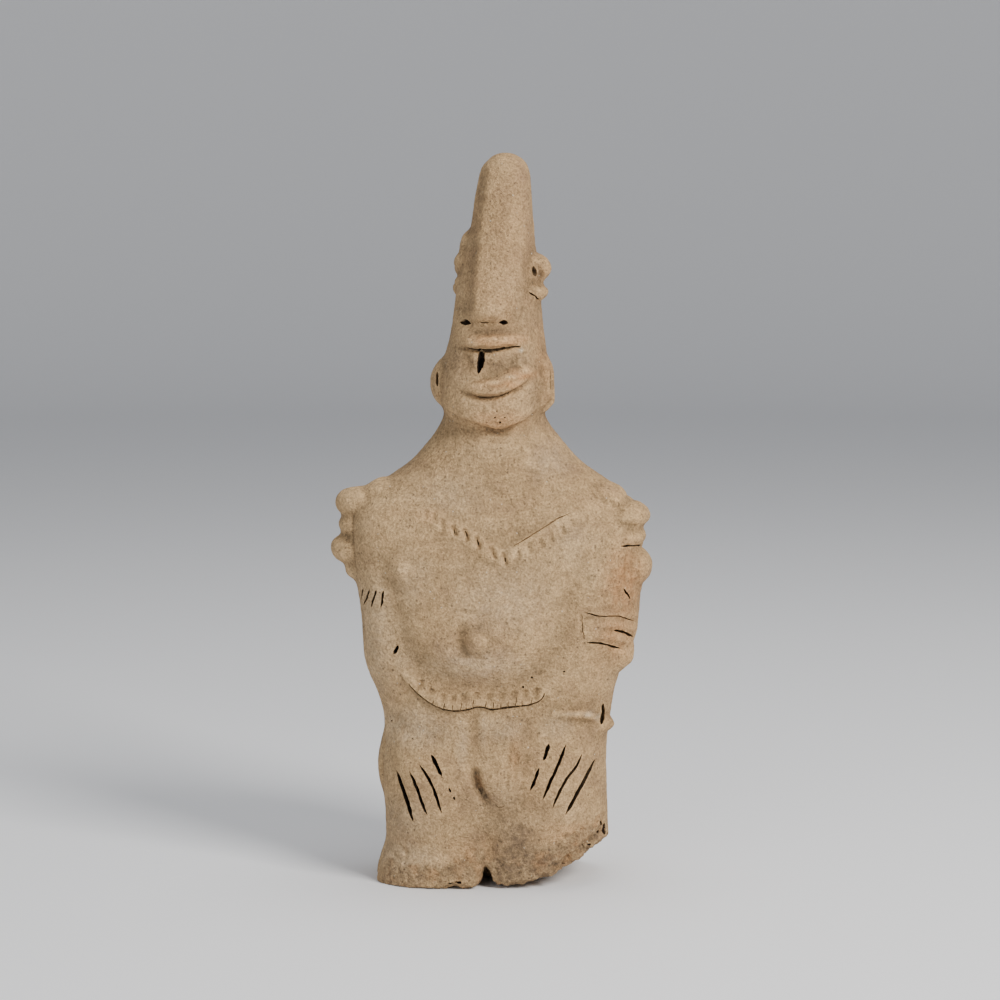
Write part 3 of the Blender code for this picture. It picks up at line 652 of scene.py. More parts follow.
# ledges, mounds and lines worked into the dressed skin: (x, z) on the body, (across, z) on a face
pressed = {
    "belt": [
        (-43, 108.4), (-38.3, 103.8), (-32.6, 99.4), (-25.7, 96), (-19.9, 95), (-13, 95.4), (-6.7, 97),
        (0.8, 95.8), (7.7, 96.7), (14.6, 97.4), (21.4, 98.4), (26, 100.4)],
    "beltTicks": (-37, -31.5, -25.4, -19.5, -13.8, -7.6, -1.2, 5.4, 11.6, 17.6, 23),
    "necklaceTicks": (
        ([(-33.6, 198), (-32.4, 193)], 0.5), ([(-29.2, 196), (-28, 190.6)], 0.7),
        ([(-25.4, 193.6), (-24, 188)], 0.9), ([(-19.8, 190.6), (-18, 184.2)], 1.4),
        ([(-13.6, 188.6), (-11.8, 181.4)], 1.7), ([(-7.8, 185), (-6, 177.4)], 1.6),
        ([(0.2, 179.8), (2.2, 171.8)], 1.4), ([(6, 176.8), (8, 169)], 1.6)),
    "necklaceDots": (
        [(14, 178), (14.6, 172.4)], [(19.6, 181), (20.6, 175)], [(25, 184), (26.4, 178)],
        [(30, 187), (31.8, 181.2)], [(36, 190), (37.8, 185)], [(41.6, 193), (43, 188.6)]),
    "noseFoot": [(-10, 295.4), (-5, 294.6), (1, 294.2), (7, 294.6), (11, 295.6)],
    "upperLip": [(-15, 281.5), (-9, 281.3), (-2, 280.8), (5, 281.0), (12, 281.8), (19, 282.4)],
    "upperRoll": [(-10, 283.2), (-4, 283.6), (4, 284), (12, 284.6), (19, 285)],
    "lowerLip": [(-12, 259.8), (-6, 258), (1, 257), (8, 257.8), (14, 260), (20, 263.4), (24, 267.4)],
    "lowerRoll": [(-8, 260.8), (-2, 261.6), (4.5, 263.1), (10, 264.8), (14.7, 266.4), (21.6, 269.2)],
    "chin": [(-16, 246.6), (-8, 243.4), (1, 240.4), (9, 239.4), (16, 241.6), (22, 244.6), (27, 248)],
    "mouthHollow": [(-12, 271), (0, 270), (10, 271), (18, 273.5)],
    "lipFold": [(6, 264.6), (14, 267.6), (20, 271)],
    "flake": [(-5.0, 278.4), (-5.0, 274), (-5.6, 268.6)],
    "flakeHollow": [(-8.4, 277), (-8.6, 273), (-8.4, 268)],
    # the line's name, places along it, lift above it, width, width below a ledge, heights along it
    "faceStrokes": (
        ("noseFoot", 30, 0, 4.5, 1.0, (0.0, 0.5, 0.8, 0.5, 0.0)),
        ("mouthHollow", 20, 0, 5.5, 0, (-1.8,)),
        ("upperLip", 40, 0, 2.6, 0.9, (0.0, 1.2, 3.4, 4.2, 4.0, 2.8, 0.4)),
        ("upperRoll", 40, 0, 1.8, 0, (0.2, 1.8, 1.1, 2.2, 1.3, 2.4, 1.4, 2.2, 1.2, 1.5, 0.2)),
        ("upperRoll", 40, 4.4, 2.2, 0, (0.0, -0.9, -1.1, -1.0, -0.6)),
        ("upperLip", 40, -1.6, 1.5, 0, (0.0, -1.6, -2.4, -2.4, -2.0, -1.2, 0.0)),
        ("lowerLip", 44, 0, 3.4, 1.1, (0.2, 1.8, 3.0, 3.4, 3.4, 2.6, 0.4)),
        ("lowerLip", 44, -1.8, 1.7, 0, (-0.6, -2.2, -3.2, -3.2, -2.6, -1.6, 0.0)),
        ("chin", 44, 0, 5.0, 1.2, (0.2, 1.2, 2.2, 2.8, 2.4, 1.6, 0.2)),
        ("chin", 44, -2.6, 2.4, 0, (-0.6, -1.4, -2.2, -2.8, -2.4, -1.4, -0.6)),
        ("lowerRoll", 34, 0, 1.5, 2.4, (0.2, 1.0, 1.6, 2.0, 1.8, 0.6)),
        ("lowerRoll", 34, 3.6, 2.0, 0, (0.0, -0.8, -1.2, -1.2, -0.6)),
        ("lipFold", 16, 0, 2.6, 0.8, (0.0, 1.2, 1.2, 0.0)),
        ("flake", 12, 0, 1.3, 0, (1.5,)),
        ("flakeHollow", 12, 0, 1.4, 0, (-0.8,)),
    ),
    "navelHollow": [(-8.6, 138.8), (-13.6, 136.6), (-15.8, 131.6), (-13.4, 126.4), (-7.6, 123.8)],
    "flapHollow": [(-8.8, 66), (-7.6, 58), (-4.4, 50.6), (-1.2, 45.4)],
    "eyeRing": [(22.2, 323), (25.2, 319.8), (25.8, 315.4), (24.6, 311.4)],
    "kneeEdge": [(30, 10.6), (40, 16), (49, 22.4), (57, 28)],
    "breasts": {front: ((-46.6, 167),), back: ((-46, 168), (46, 167))},
    "scratches": (
        [(50, 208), (55, 201.6)], [(54, 207), (59.6, 199)], [(59, 205), (64, 197.4)],
        [(63, 201), (68, 195)], [(66, 190), (75, 187.6)], [(69, 172), (68.4, 160)],
        [(72.6, 172), (72.4, 158)], [(76, 173), (76, 160)], [(-48, 23), (-42, 18)],
        [(-45, 11), (-43.4, 21)], [(-51, 17), (-46, 14)], [(-17.2, 147.3), (0.1, 145.5)],
        [(42, 161), (46, 157.6)], [(49, 163), (50.4, 160)], [(8, 52), (10.6, 78)],
        [(12.6, 58), (13, 74)], [(45, 146.4), (54, 146.4), (63, 147)],
        [(46, 146), (46.4, 138), (45.6, 130)], [(47, 141.6), (58, 142.4)]),
    "armlets": (
        [(50, 143.6), (62, 143.2), (74, 141)], [(50, 137.4), (62, 137.4), (74, 134)],
        [(48, 132.6), (60, 131.4), (70, 128)]),
}


def workFaces(skin, side):
    for across, z in ((-7, 287), (1, 287.4), (9, 288)):  # under the nose
        skin.swell(skin.onFace(across, z, side)[0], (10, 12, 8), 0.4)
    for name, count, lift, width, below, heights in pressed["faceStrokes"]:
        line = [(p + Vector((0, 0, lift)), n) for p, n in skin.alongFace(pressed[name], side, count)]
        skin.stroke(line, width, *heights, below=below)


def workBody(skin, side):
    skin.line(pressed["belt"], side, 70, 6.2, 0.8, 2.0, 2.4, 2.4, 2.4, 2.2, 0.8, below=0.9)
    for x in pressed["beltTicks"]:
        z = float(np.interp(x, *np.array(pressed["belt"]).T))
        slant = 1.2 if x < -22 else 0.2
        skin.line([(x, z + 0.5), (x + slant, z + 7)], side, 6, 1.35, -2.3)
    for tick, depth in pressed["necklaceTicks"]:
        skin.line(tick, side, 6, 1.2, -1.25 * depth)
    for tick in pressed["necklaceDots"]:
        skin.line(tick, side, 6, 1.2, -0.9)
    for x, z in pressed["breasts"][side]:
        spot = skin.onBody(x, z, side)[0]
        skin.swell(spot, (9.4, 15, 9.4), 2.6)
        skin.swell(spot, (5.6, 9, 5.6), 1.3)
        skin.swell(skin.onBody(x - 5, z - 9, side)[0], (10, 13, 8), -0.5)
    skin.line(pressed["navelHollow"], side, 30, 3.9, -0.4, -1.8, -2.5, -1.9, -0.5)
    navel = skin.onBody(-7.0, 130.8, side)[0]
    skin.swell(navel, (8.2, 14, 7.8), 3.4)
    skin.swell(navel, (5.4, 9, 5.0), 1.7)
    skin.line(pressed["flapHollow"], side, 20, 2.1, -0.4, -4.6, -5.4, -3.8, -0.6)
    if side == front:
        for line in pressed["armlets"]:
            skin.line(line, side, 16, 3.0, 0.2, 1.0, 1.3, below=1.1)
        skin.swell((70, -18, 119), (14, 16, 12), 4.2)
        skin.swell((59, -24, 83.5), (9, 14, 7), 3.2)
        skin.line([(-71.6, 194), (-71.4, 180), (-70.4, 166)], side, 16, 0.9, -0.7)
        skin.line(pressed["eyeRing"], side, 14, 1.5, -0.3, -1.6, -1.8, -0.8)
        skin.swell((-1, -6, 375), (8, 12, 6), -0.6)
        skin.swell((62, -20, 85), (7, 12, 7), 3.0)
        skin.line([(-57.6, 66), (-57.4, 50), (-57, 30), (-57, 12)], side, 20, 2.0, -1.0)
        for line in pressed["scratches"]:
            skin.line(line, side, 8, 1.0, -0.55)
        skin.line(pressed["kneeEdge"], side, 20, 2.2, -0.4, -2.4, -2.6, -1.6)


def pressLines(clay):
    skin = ClaySkin(clay)
    for side in (front, back):
        workFaces(skin, side)
        workBody(skin, side)
    skin.commit()


# knife slits: (x, z) spots, the widest width and the depth
slits = {
    "leftFingers": (
        ([(-48.9, 62.4), (-46.1, 54.9), (-42.9, 45.7), (-40.2, 35.6)], 2.9, 8),
        ([(-42, 63), (-38.3, 54.9), (-36, 48), (-32.7, 40)], 2.1, 6),
        ([(-36.8, 66.5), (-32, 59.4), (-28.6, 52), (-26.8, 45.7), (-25.1, 41.4)], 1.9, 5),
        ([(-30.8, 71.6), (-28, 66.4), (-25.4, 61)], 2.4, 5), ([(-21.7, 54.6), (-20.7, 52.6)], 1.5, 2.5),
        ([(-19.5, 50.4), (-18.4, 48.4)], 1.5, 2.5)),
    "rightFingers": (
        ([(29.6, 77.4), (28.4, 73), (26.9, 69)], 2.3, 5),
        ([(24.6, 65.4), (22.6, 59.6), (20.0, 53.2)], 2.0, 5),
        ([(38.6, 76.6), (34.8, 67.6), (30.5, 58.4), (26.2, 48.4)], 2.2, 6),
        ([(46.6, 71.4), (44.8, 66.6), (39.6, 60.4), (35, 52.6), (31.5, 44)], 1.9, 6),
        ([(53.8, 67.6), (48.4, 58.2), (43.8, 50.2), (38.2, 40)], 2.8, 9)),
    "arms": (
        ([(-66, 155.4), (-67.6, 148)], 1.3, 4), ([(-62.4, 155.8), (-64, 151), (-66, 146.4)], 1.4, 4),
        ([(-58.8, 155.8), (-60.4, 151), (-61.8, 146.2)], 1.4, 4),
        ([(-55.4, 155.8), (-55.8, 151), (-56.8, 146.2)], 1.6, 4),
        ([(47, 145.6), (55, 142.8), (65, 142.2), (74.4, 138)], 1.0, 2.4),
        ([(62.6, 135), (68, 133.4), (73.6, 129.6)], 1.7, 4),
        ([(48.6, 129.3), (57, 128.2), (62, 126.4), (67, 124.4)], 1.4, 4),
        ([(68, 156.2), (71.8, 150.2)], 1.6, 4), ([(57.8, 95.6), (58, 90.6), (56.8, 84.6)], 2.9, 5),
        ([(66.4, 178), (73, 177.5), (80, 176.8)], 1.2, 3)),
    "belt": (
        [(-42.6, 107.4), (-38.3, 103), (-32.6, 98.6), (-25.7, 95.2), (-19.9, 94.2), (-13, 94.6),
        (-6.7, 96.2), (0.8, 95), (7.7, 95.9), (14.6, 96.6), (21.4, 97.6), (25.6, 99.8), (27.8, 103.6)],
        2.1, 3.6),
    "beltNicks": (
        (-30, 97.6, 2), (-24.4, 95.4, 3), (-20, 94.4, 3.5), (-15.6, 94.6, 4.4), (-13.2, 94.8, 2),
        (-9.4, 96, 4.8), (-3, 96, 3), (1.2, 95.2, 5), (4.6, 95.6, 2.4), (8.4, 96, 3.4),
        (12.6, 96.6, 5.6), (15.4, 97, 2.6), (20.6, 97.6, 4)),
    "breakPits": (
        (58.6, 28.6, 1.3, 3.0), (57, 32, 0.9, 1.6), (55.4, 27.6, 1.1, 0.8), (60.6, 24.8, 0.9, 1.1),
        (61.6, 31, 0.5, 2.0), (50.8, 22.0, 1.0, 0.5), (37.4, 13.4, 1.2, 0.4), (-17, 4.4, 1.9, 0.8),
        (-21, 3.6, 1.1, 0.5)),
    "necklaceLine": ([(10.6, 178.8), (18.6, 183.6), (25.4, 187.8), (33.5, 192.8), (41, 196)], 0.9, 1.0),
    "faint": (
        ([(1.5, 46), (4.6, 44.6), (7.6, 46.2)], 0.5, 0.6), ([(-19, 187.6), (-18.2, 185)], 0.7, 1.4),
        ([(-13, 187), (-12.2, 183.8)], 1.1, 1.8), ([(-7.2, 182.6), (-6.4, 179.6)], 1.0, 1.6),
        ([(7, 173.6), (7.6, 170.8)], 0.8, 1.4), ([(1, 176.2), (1.6, 174.2)], 0.6, 1.2),
        ([(46.4, 144), (46.8, 137), (47.6, 130)], 0.5, 0.7)),
    "dots": (
        (2, 244.6, 0.8), (4.6, 242, 1.0), (7, 244.6, 0.7), (3, 248, 0.6), (20.9, 111.3, 1.0),
        (16.4, 106.3, 1.1), (37.4, 114.2, 0.9), (-51.5, 86, 0.7), (-40.6, 79, 0.6)),
    "mouth": [(-1.3, 279.4), (-1.5, 273.6), (-3.0, 266.8)],
    "nostrils": (
        ([(-12.4, 292.4), (-9.6, 292.8), (-6.6, 292.2)], 2.7),
        ([(7.8, 292.6), (9.8, 293.0), (12.4, 292.4)], 2.6)),
    "ears": (([(-28.0, 267), (-27.8, 259)], 2.3, 5), ([(30.2, 268), (30.6, 257)], 0.7, 2)),
    "stab": [(-47.4, 127.2), (-48.6, 125), (-50, 122.6)],
    "pupil": [(21.6, 321.4), (22.2, 318.6), (23.0, 315.8)],
    "crevice": [(19.2, 308), (22.6, 305.8), (24.8, 303.2)],
    "bladeShape": (0.3, 0.85, 1, 0.9, 1, 0.85, 0.3),
    "bladeHalf": 0.43,  # half of a slit's width, less what the blade's unevenness adds
}


# a blade that follows a line on the skin and leans towards the front, as a hand in front of it would cut
def taper(places, width, depth, side, lean=1.8):
    places = [(p, (n + Vector((0, side, 0)) * lean).normalized()) for p, n in places]
    wide = np.array(slits["bladeShape"]) * width * slits["bladeHalf"]
    deep = np.array((0.6, 1, 1, 1, 1, 1, 0.6)) * depth
    return wobble(coil(places, wide, deep, 12), 0.42, 2.0)


def slit(skin, path, count, width, depth, side, lean=1.8):
    return taper(skin.alongBody(path, side, count), width, depth, side, lean)


def makeBlades(skin, side):
    rows = slits["leftFingers"] + slits["rightFingers"]
    if side == front:
        rows += slits["arms"] + slits["faint"]
    blades = [slit(skin, path, 14, width, depth, side) for path, width, depth in rows]
    for name, count in (("belt", 90), ("necklaceLine", 40)):
        path, width, depth = slits[name]
        blades.append(slit(skin, path, count, width, depth, side))
    for x, z, tall in slits["beltNicks"]:
        blades.append(slit(skin, [(x, z - 0.4), (x + 0.5, z + tall)], 8, 0.55, 1.0, side))
    mouth = skin.alongFace(slits["mouth"], side, 14)
    blades.append(wobble(coil(mouth, (0.7, 1.9, 2.2, 1.6, 0.6), (2, 6, 7, 6, 2), 14), 0.55, 1.8))
    for path, wide in slits["nostrils"]:
        places = skin.alongFace(path, side, 10)
        blades.append(wobble(coil(places, (0.5, 0.7 * wide, 0.4), (1.5, 4, 1.5), 14), 0.4, 2))
    lips = ((pressed["upperLip"][1:], 1.7, 2.2, 2.2), (pressed["lowerLip"][1:-2], 2.1, 0.8, 0.9))
    for lip, under, width, depth in lips:
        groove = skin.alongFace([(across, z - under) for across, z in lip], side, 30)
        blades.append(taper(groove, width, depth, side, 0.5))
    septum = skin.alongFace([(-2, 292.8), (2.6, 292.8)], side, 8)
    return blades + [coil(septum, 0.4, 1.0, 8)]


def cutSlits(clay):
    skin = ClaySkin(clay)
    blades = makeBlades(skin, front) + makeBlades(skin, back)
    for path, width, depth in slits["ears"]:
        blades.append(slit(skin, path, 12, width, depth, front, 2.0))
    for around in (112, -108):
        ear = skin.alongHead([(around, 267, 0), (around, 257, 0)], head["turn"], 12)
        blades.append(taper(ear, 1.8, 4, back, 0.5))
    blades.append(slit(skin, slits["stab"], 8, 2.2, 4, front))
    pupil = skin.alongBody(slits["pupil"], front, 8)
    blades.append(wobble(coil(pupil, (0.4, 1.4, 1.1), (1, 3.6, 1.5), 12), 0.3, 2))
    blades.append(slit(skin, slits["crevice"], 12, 1.2, 2.4, front))
    for x, z, wide, tall in slits["breakPits"]:
        pit = ball(skin.onBody(x, z, front)[0], (wide, 1.6 * wide, tall), 16)
        blades.append(wobble(pit, 0.5 * wide, 1.6))
    for x, z, size in slits["dots"]:
        blades.append(ball(skin.onBody(x, z, front)[0], (size * 0.6, 2, size * 0.6), 12))
    carve(clay, blades, "blades")


def thinOut(clay):
    useOnly(clay)
    clay.data.calc_loop_triangles()
    thin = clay.modifiers.new("thin", "DECIMATE")
    thin.ratio = min(1, clayWork["triangles"] / len(clay.data.loop_triangles))
    applyAll(clay)


def fitToBox(clay):
    points = pointsOf(clay)
    points[:, 2] = np.where(points[:, 2] < 0.45, 0, points[:, 2])
    low, high = points.min(axis=0), points.max(axis=0)
    cad = np.array(cadLow), np.array(cadHigh)
    setPoints(clay, cad[0] + (points - low) / (high - low) * (cad[1] - cad[0]))
    useOnly(clay)
    bpy.ops.object.shade_smooth_by_angle(angle=clayWork["sharpEdge"])


# stains as soft ovals on the front, where the fire or the ground coloured the clay, mixed with painted
# shade, painted light and painted highlights:
# x, z, the reach along each, and the strength
stains = {
    "warm": (
        (4.4, 243, 17, 8, 1.0), (4, 284, 17, 4, 1.6), (6, 262, 16, 4, 1.0), (15, 266.4, 12, 4.4, 1.5),
        (-3, 272, 18, 10, 0.2), (6, 310, 26, 60, 0.26), (68, 158, 13, 24, 1.2), (66, 132, 14, 16, 0.8),
        (27, 272, 8, 28, 0.5), (4, 256, 30, 22, 0.2), (38, 30, 20, 7, 0.6), (0, 22, 9, 10, 0.4),
        (-16, 20, 14, 9, 0.4), (-31, 195, 9, 5, 0.35), (12, 72, 4, 14, 0.5), (20, 58, 8, 18, 0.2),
        (56, 116, 10, 14, 0.2), (-10, 107, 34, 6, 0.15), (46, 25, 16, 6, 0.5)),
    # dark stains on the head and the break, with painted shade in the flap's groove, between the legs, in
    # the mouth, under the nose and chin, on the nose's left flank, in the shoulder seam and beside the
    # neck
    "darkAndShade": (
        (-7.6, 58, 2.4, 8, 1.1), (-4, 50.5, 2.4, 5, 1.1), (8, 36, 9, 12, 0.8), (14, 26, 14, 16, 1.25),
        (10, 12, 13, 14, 1.35), (28, 14, 20, 11, 1.35), (4, 22, 6, 16, 0.9), (20, 44, 14, 10, 0.3),
        (2, 48, 20, 12, 0.8), (-2, 32, 10, 12, 0.5), (14, 20, 16, 8, 1.3), (4, 272, 22, 8, 0.8),
        (5, 318, 18, 40, 0.4), (-17, 271, 9, 16, 0.7), (5, 366, 14, 16, 0.25), (66, 152, 14, 28, 0.35),
        (6, 30, 16, 12, 0.5), (-44, 220, 12, 8, 0.5), (46, 20, 12, 8, 0.7), (36, 13, 9, 4, 1.1),
        (47, 20, 8, 4, 1.1), (55, 26, 6, 5, 1.0), (-3, 6, 5, 12, 1.2), (1, 288.5, 17, 3.4, 0.8),
        (-2, 273, 17, 6, 0.75), (13, 274, 11, 6, 0.8), (16, 296, 12, 14, 0.5), (13, 312, 18, 40, 0.45),
        (4, 350, 24, 44, 0.2), (24, 262, 14, 30, 0.4), (4, 250, 24, 20, 0.25), (-9, 320, 4, 60, 0.3),
        (-12, 230, 16, 16, 0.25), (-1, 30, 3, 18, 0.4), (-3, 62, 3, 26, 0.15), (62, 80, 4, 6, 0.4),
        (26, 14, 48, 34, 0.16), (20, 40, 22, 16, 0.25), (62, 40, 6, 12, 0.25),
        (-66, 186, 10, 18, 0.18)),
    # pale spots and a quartz speck, with a painted highlight on the bracelet's ridge and painted light
    # lifting the shaded lower belly, left arm and left thigh
    "paleAndLit": (
        (50.6, 91.4, 3.4, 1.8, 0.9), (55, 88.6, 2.4, 2.0, 0.7), (41, 92.4, 7, 1.4, 0.3),
        (15.4, 278.6, 1.6, 0.9, 2.0), (-4, 84, 3, 12, 0.3), (-8, 118, 34, 12, 0.35),
        (-60, 128, 12, 44, 0.35), (-42, 84, 26, 12, 0.5), (-46, 16, 24, 12, 0.4),
        (-46, 36, 20, 16, 0.3), (-15, 78, 4, 14, 0.35), (-20, 205, 24, 14, 0.2),
        (-42, 160, 14, 16, 0.2), (6, 152, 30, 20, 0.3), (30, 222, 14, 12, 0.3), (6, 84, 12, 8, 0.3),
        (42, 184, 14, 12, 0.2), (34, 86, 10, 8, 0.3), (-44, 120, 10, 14, 0.2)),
    # rubbed wear on the crumbly base, with painted highlights along the lip ledges and the nose tip and
    # painted light on the left thigh and arm
    "rubbedAndHighlit": (
        (4, 284.4, 13, 2.4, 0.9), (-6, 261, 6, 1.5, 0.9), (2, 262.8, 6, 1.6, 1.2),
        (10, 265.6, 6, 1.7, 1.3), (17, 268.2, 5, 1.7, 1.2), (4, 245, 15, 5, 0.3),
        (-1.6, 299, 5, 3, 0.6), (-50, 14, 20, 15, 0.6), (-22, 17, 16, 11, 0.55), (30, 31, 15, 5, 0.6),
        (-50, 90, 14, 18, 0.7), (-54, 116, 8, 18, 0.3)),
    # cuts where less painted shade is laid in
    "thinSlitShade": (
        (26, 188, 40, 26, 0.85), (2, 280.4, 30, 2.4, 0.5), (6, 257, 26, 6, 0.6), (-12, 97, 60, 16, 0.6),
        (-62, 148, 14, 12, 0.4), (64, 138, 18, 16, 0.4), (60, 92, 10, 14, 0.55), (22, 318, 8, 8, 0.4),
        (22, 305, 7, 6, 0.4), (38, 58, 28, 30, 0.2), (-28, 263, 8, 14, 0.75), (31, 262, 6, 10, 0.6)),
}


def spread(thing, name, values, each="POINT"):
    layer = thing.data.attributes.new(name, "FLOAT", each)
    layer.data.foreach_set("value", np.ascontiguousarray(values, dtype=np.float32))


# how far each point stands out from its neighbourhood, in mm: below zero in the hollows
def standOut(clay, rounds):
    points = pointsOf(clay)
    edges = np.empty(len(clay.data.edges) * 2, dtype=int)
    clay.data.edges.foreach_get("vertices", edges)
    one, two = edges.reshape(-1, 2).T
    count = np.bincount(one, minlength=len(points)) + np.bincount(two, minlength=len(points))
    calm = points.copy()
    for _ in range(rounds):
        total = np.empty_like(calm)
        for k in range(3):
            total[:, k] = np.bincount(one, calm[two, k], len(points))
            total[:, k] += np.bincount(two, calm[one, k], len(points))
        calm += 0.6 * (total / np.maximum(count, 1)[:, None] - calm)
    return ((points - calm) * pointsOf(clay, "normal")).sum(axis=1)


def markClay(clay, uncut, unbroken):
    points = pointsOf(clay)
    middles = np.empty(len(clay.data.polygons) * 3)
    clay.data.polygons.foreach_get("center", middles)
    depth = np.array(distances(uncut, middles.reshape(-1, 3)))
    # how deep each face lies inside a slit, which sets the painted shade laid in there
    spread(clay, "cut", ease((depth - 0.12) / 0.5), "FACE")
    lost = measureLow(points, lambda low: distances(unbroken, low))
    mask = measureLow(points, spallMask)
    spread(clay, "broken", np.maximum(ease((lost - 1.0) / 2), mask * 0.8))
    # painted shade for the hollows and painted highlights for the ridges, from how far each point stands
    # out
    spread(clay, "reliefShading", np.clip(0.5 + standOut(clay, 14) / 1.2, 0, 1))
    spread(clay, "broadReliefShading", np.clip(0.5 + standOut(clay, 90) / 5, 0, 1))
    x, y, z = points.T
    facing = ease((-pointsOf(clay, "normal")[:, 1] + 0.5) / 0.6)
    for name, spots in stains.items():
        total = np.zeros(len(points))
        for atX, atZ, reachX, reachZ, strength in spots:
            gap = np.hypot((x - atX) / reachX, (z - atZ) / reachZ)
            total = np.maximum(total, strength * (1 - ease(gap / 1.3)) * facing)
        spread(clay, name, total)


# the fired clay: colours, then the size of each kind of mottling as a noise scale
clayLook = {
    "deep": (0.292, 0.182, 0.096), "middle": (0.414, 0.266, 0.130), "light": (0.494, 0.331, 0.171),
    # dark, pale and rubbed serve the clay's own stains and also painted shade, painted light and painted
    # highlights
    "warm": (0.430, 0.215, 0.085), "darkAndShade": (0.135, 0.089, 0.054), "paleAndLit": (0.61, 0.48, 0.32),
    "rubbedAndHighlit": (0.62, 0.405, 0.205),
    # slitShade is painted shade laid into the slits
    "slitShade": (0.018, 0.008, 0.003), "grit": (0.090, 0.062, 0.042), "quartz": (0.62, 0.52, 0.38),
    "tones": 20, "mottling": 95, "streaks": 60, "sand": 820, "fine": 2100, "lumps": 300, "ragged": 260,
    "chunks": 330, "patches": 120, "pits": 420, "gritSize": 560, "quartzSize": 520,
    "jitter": 1500.0, "jitterReach": 0.0008,  # unsettles the outlines of the specks
    "sandContrast": 0.45, "bump": 0.0007,
}


class Paint:
    def __init__(self, name):
        self.material = bpy.data.materials.new(name)
        self.material.use_nodes = True
        self.tree = self.material.node_tree
        self.shader = self.tree.nodes["Principled BSDF"]

    def put(self, socket, value):
        if isinstance(value, bpy.types.NodeSocket):
            self.tree.links.new(value, socket)
        elif isinstance(value, tuple) and len(value) == 3 and socket.type == "RGBA":
            socket.default_value = (*value, 1)
        else:
            socket.default_value = value

    def node(self, kind, out=0, settings=(), **values):
        made = self.tree.nodes.new(kind)
        for name, value in dict(settings).items():
            setattr(made, name, value)
        for name, value in values.items():
            self.put(made.inputs[name], value)
        return made.outputs[out]

    def sum(self, operation, *values):
        made = self.tree.nodes.new("ShaderNodeMath")
        made.operation = operation
        for k, value in enumerate(values):
            self.put(made.inputs[k], value)
        return made.outputs[0]

    def times(self, one, two):
        return self.sum("MULTIPLY", one, two)

    def blend(self, share, one, two, how="MIX"):
        made = self.tree.nodes.new("ShaderNodeMix")
        made.data_type = "RGBA"
        made.blend_type = how
        self.put(made.inputs["Factor"], share)
        self.put(made.inputs[6], one)
        self.put(made.inputs[7], two)
        return made.outputs[2]

    def span(self, value, low, high, to=0.0, end=1.0):
        return self.node("ShaderNodeMapRange", Value=value, **{
            "From Min": low, "From Max": high, "To Min": to, "To Max": end})

    def noise(self, place, scale, detail=2.0, roughness=0.5, warp=0.0):
        return self.node("ShaderNodeTexNoise", Vector=place, Scale=scale, Detail=detail,
                         Roughness=roughness, Distortion=warp)

    def mark(self, name):
        return self.node("ShaderNodeAttribute", 2, {"attribute_name": name})

    def grey(self, value):
        return self.node("ShaderNodeCombineColor", Red=value, Green=value, Blue=value)


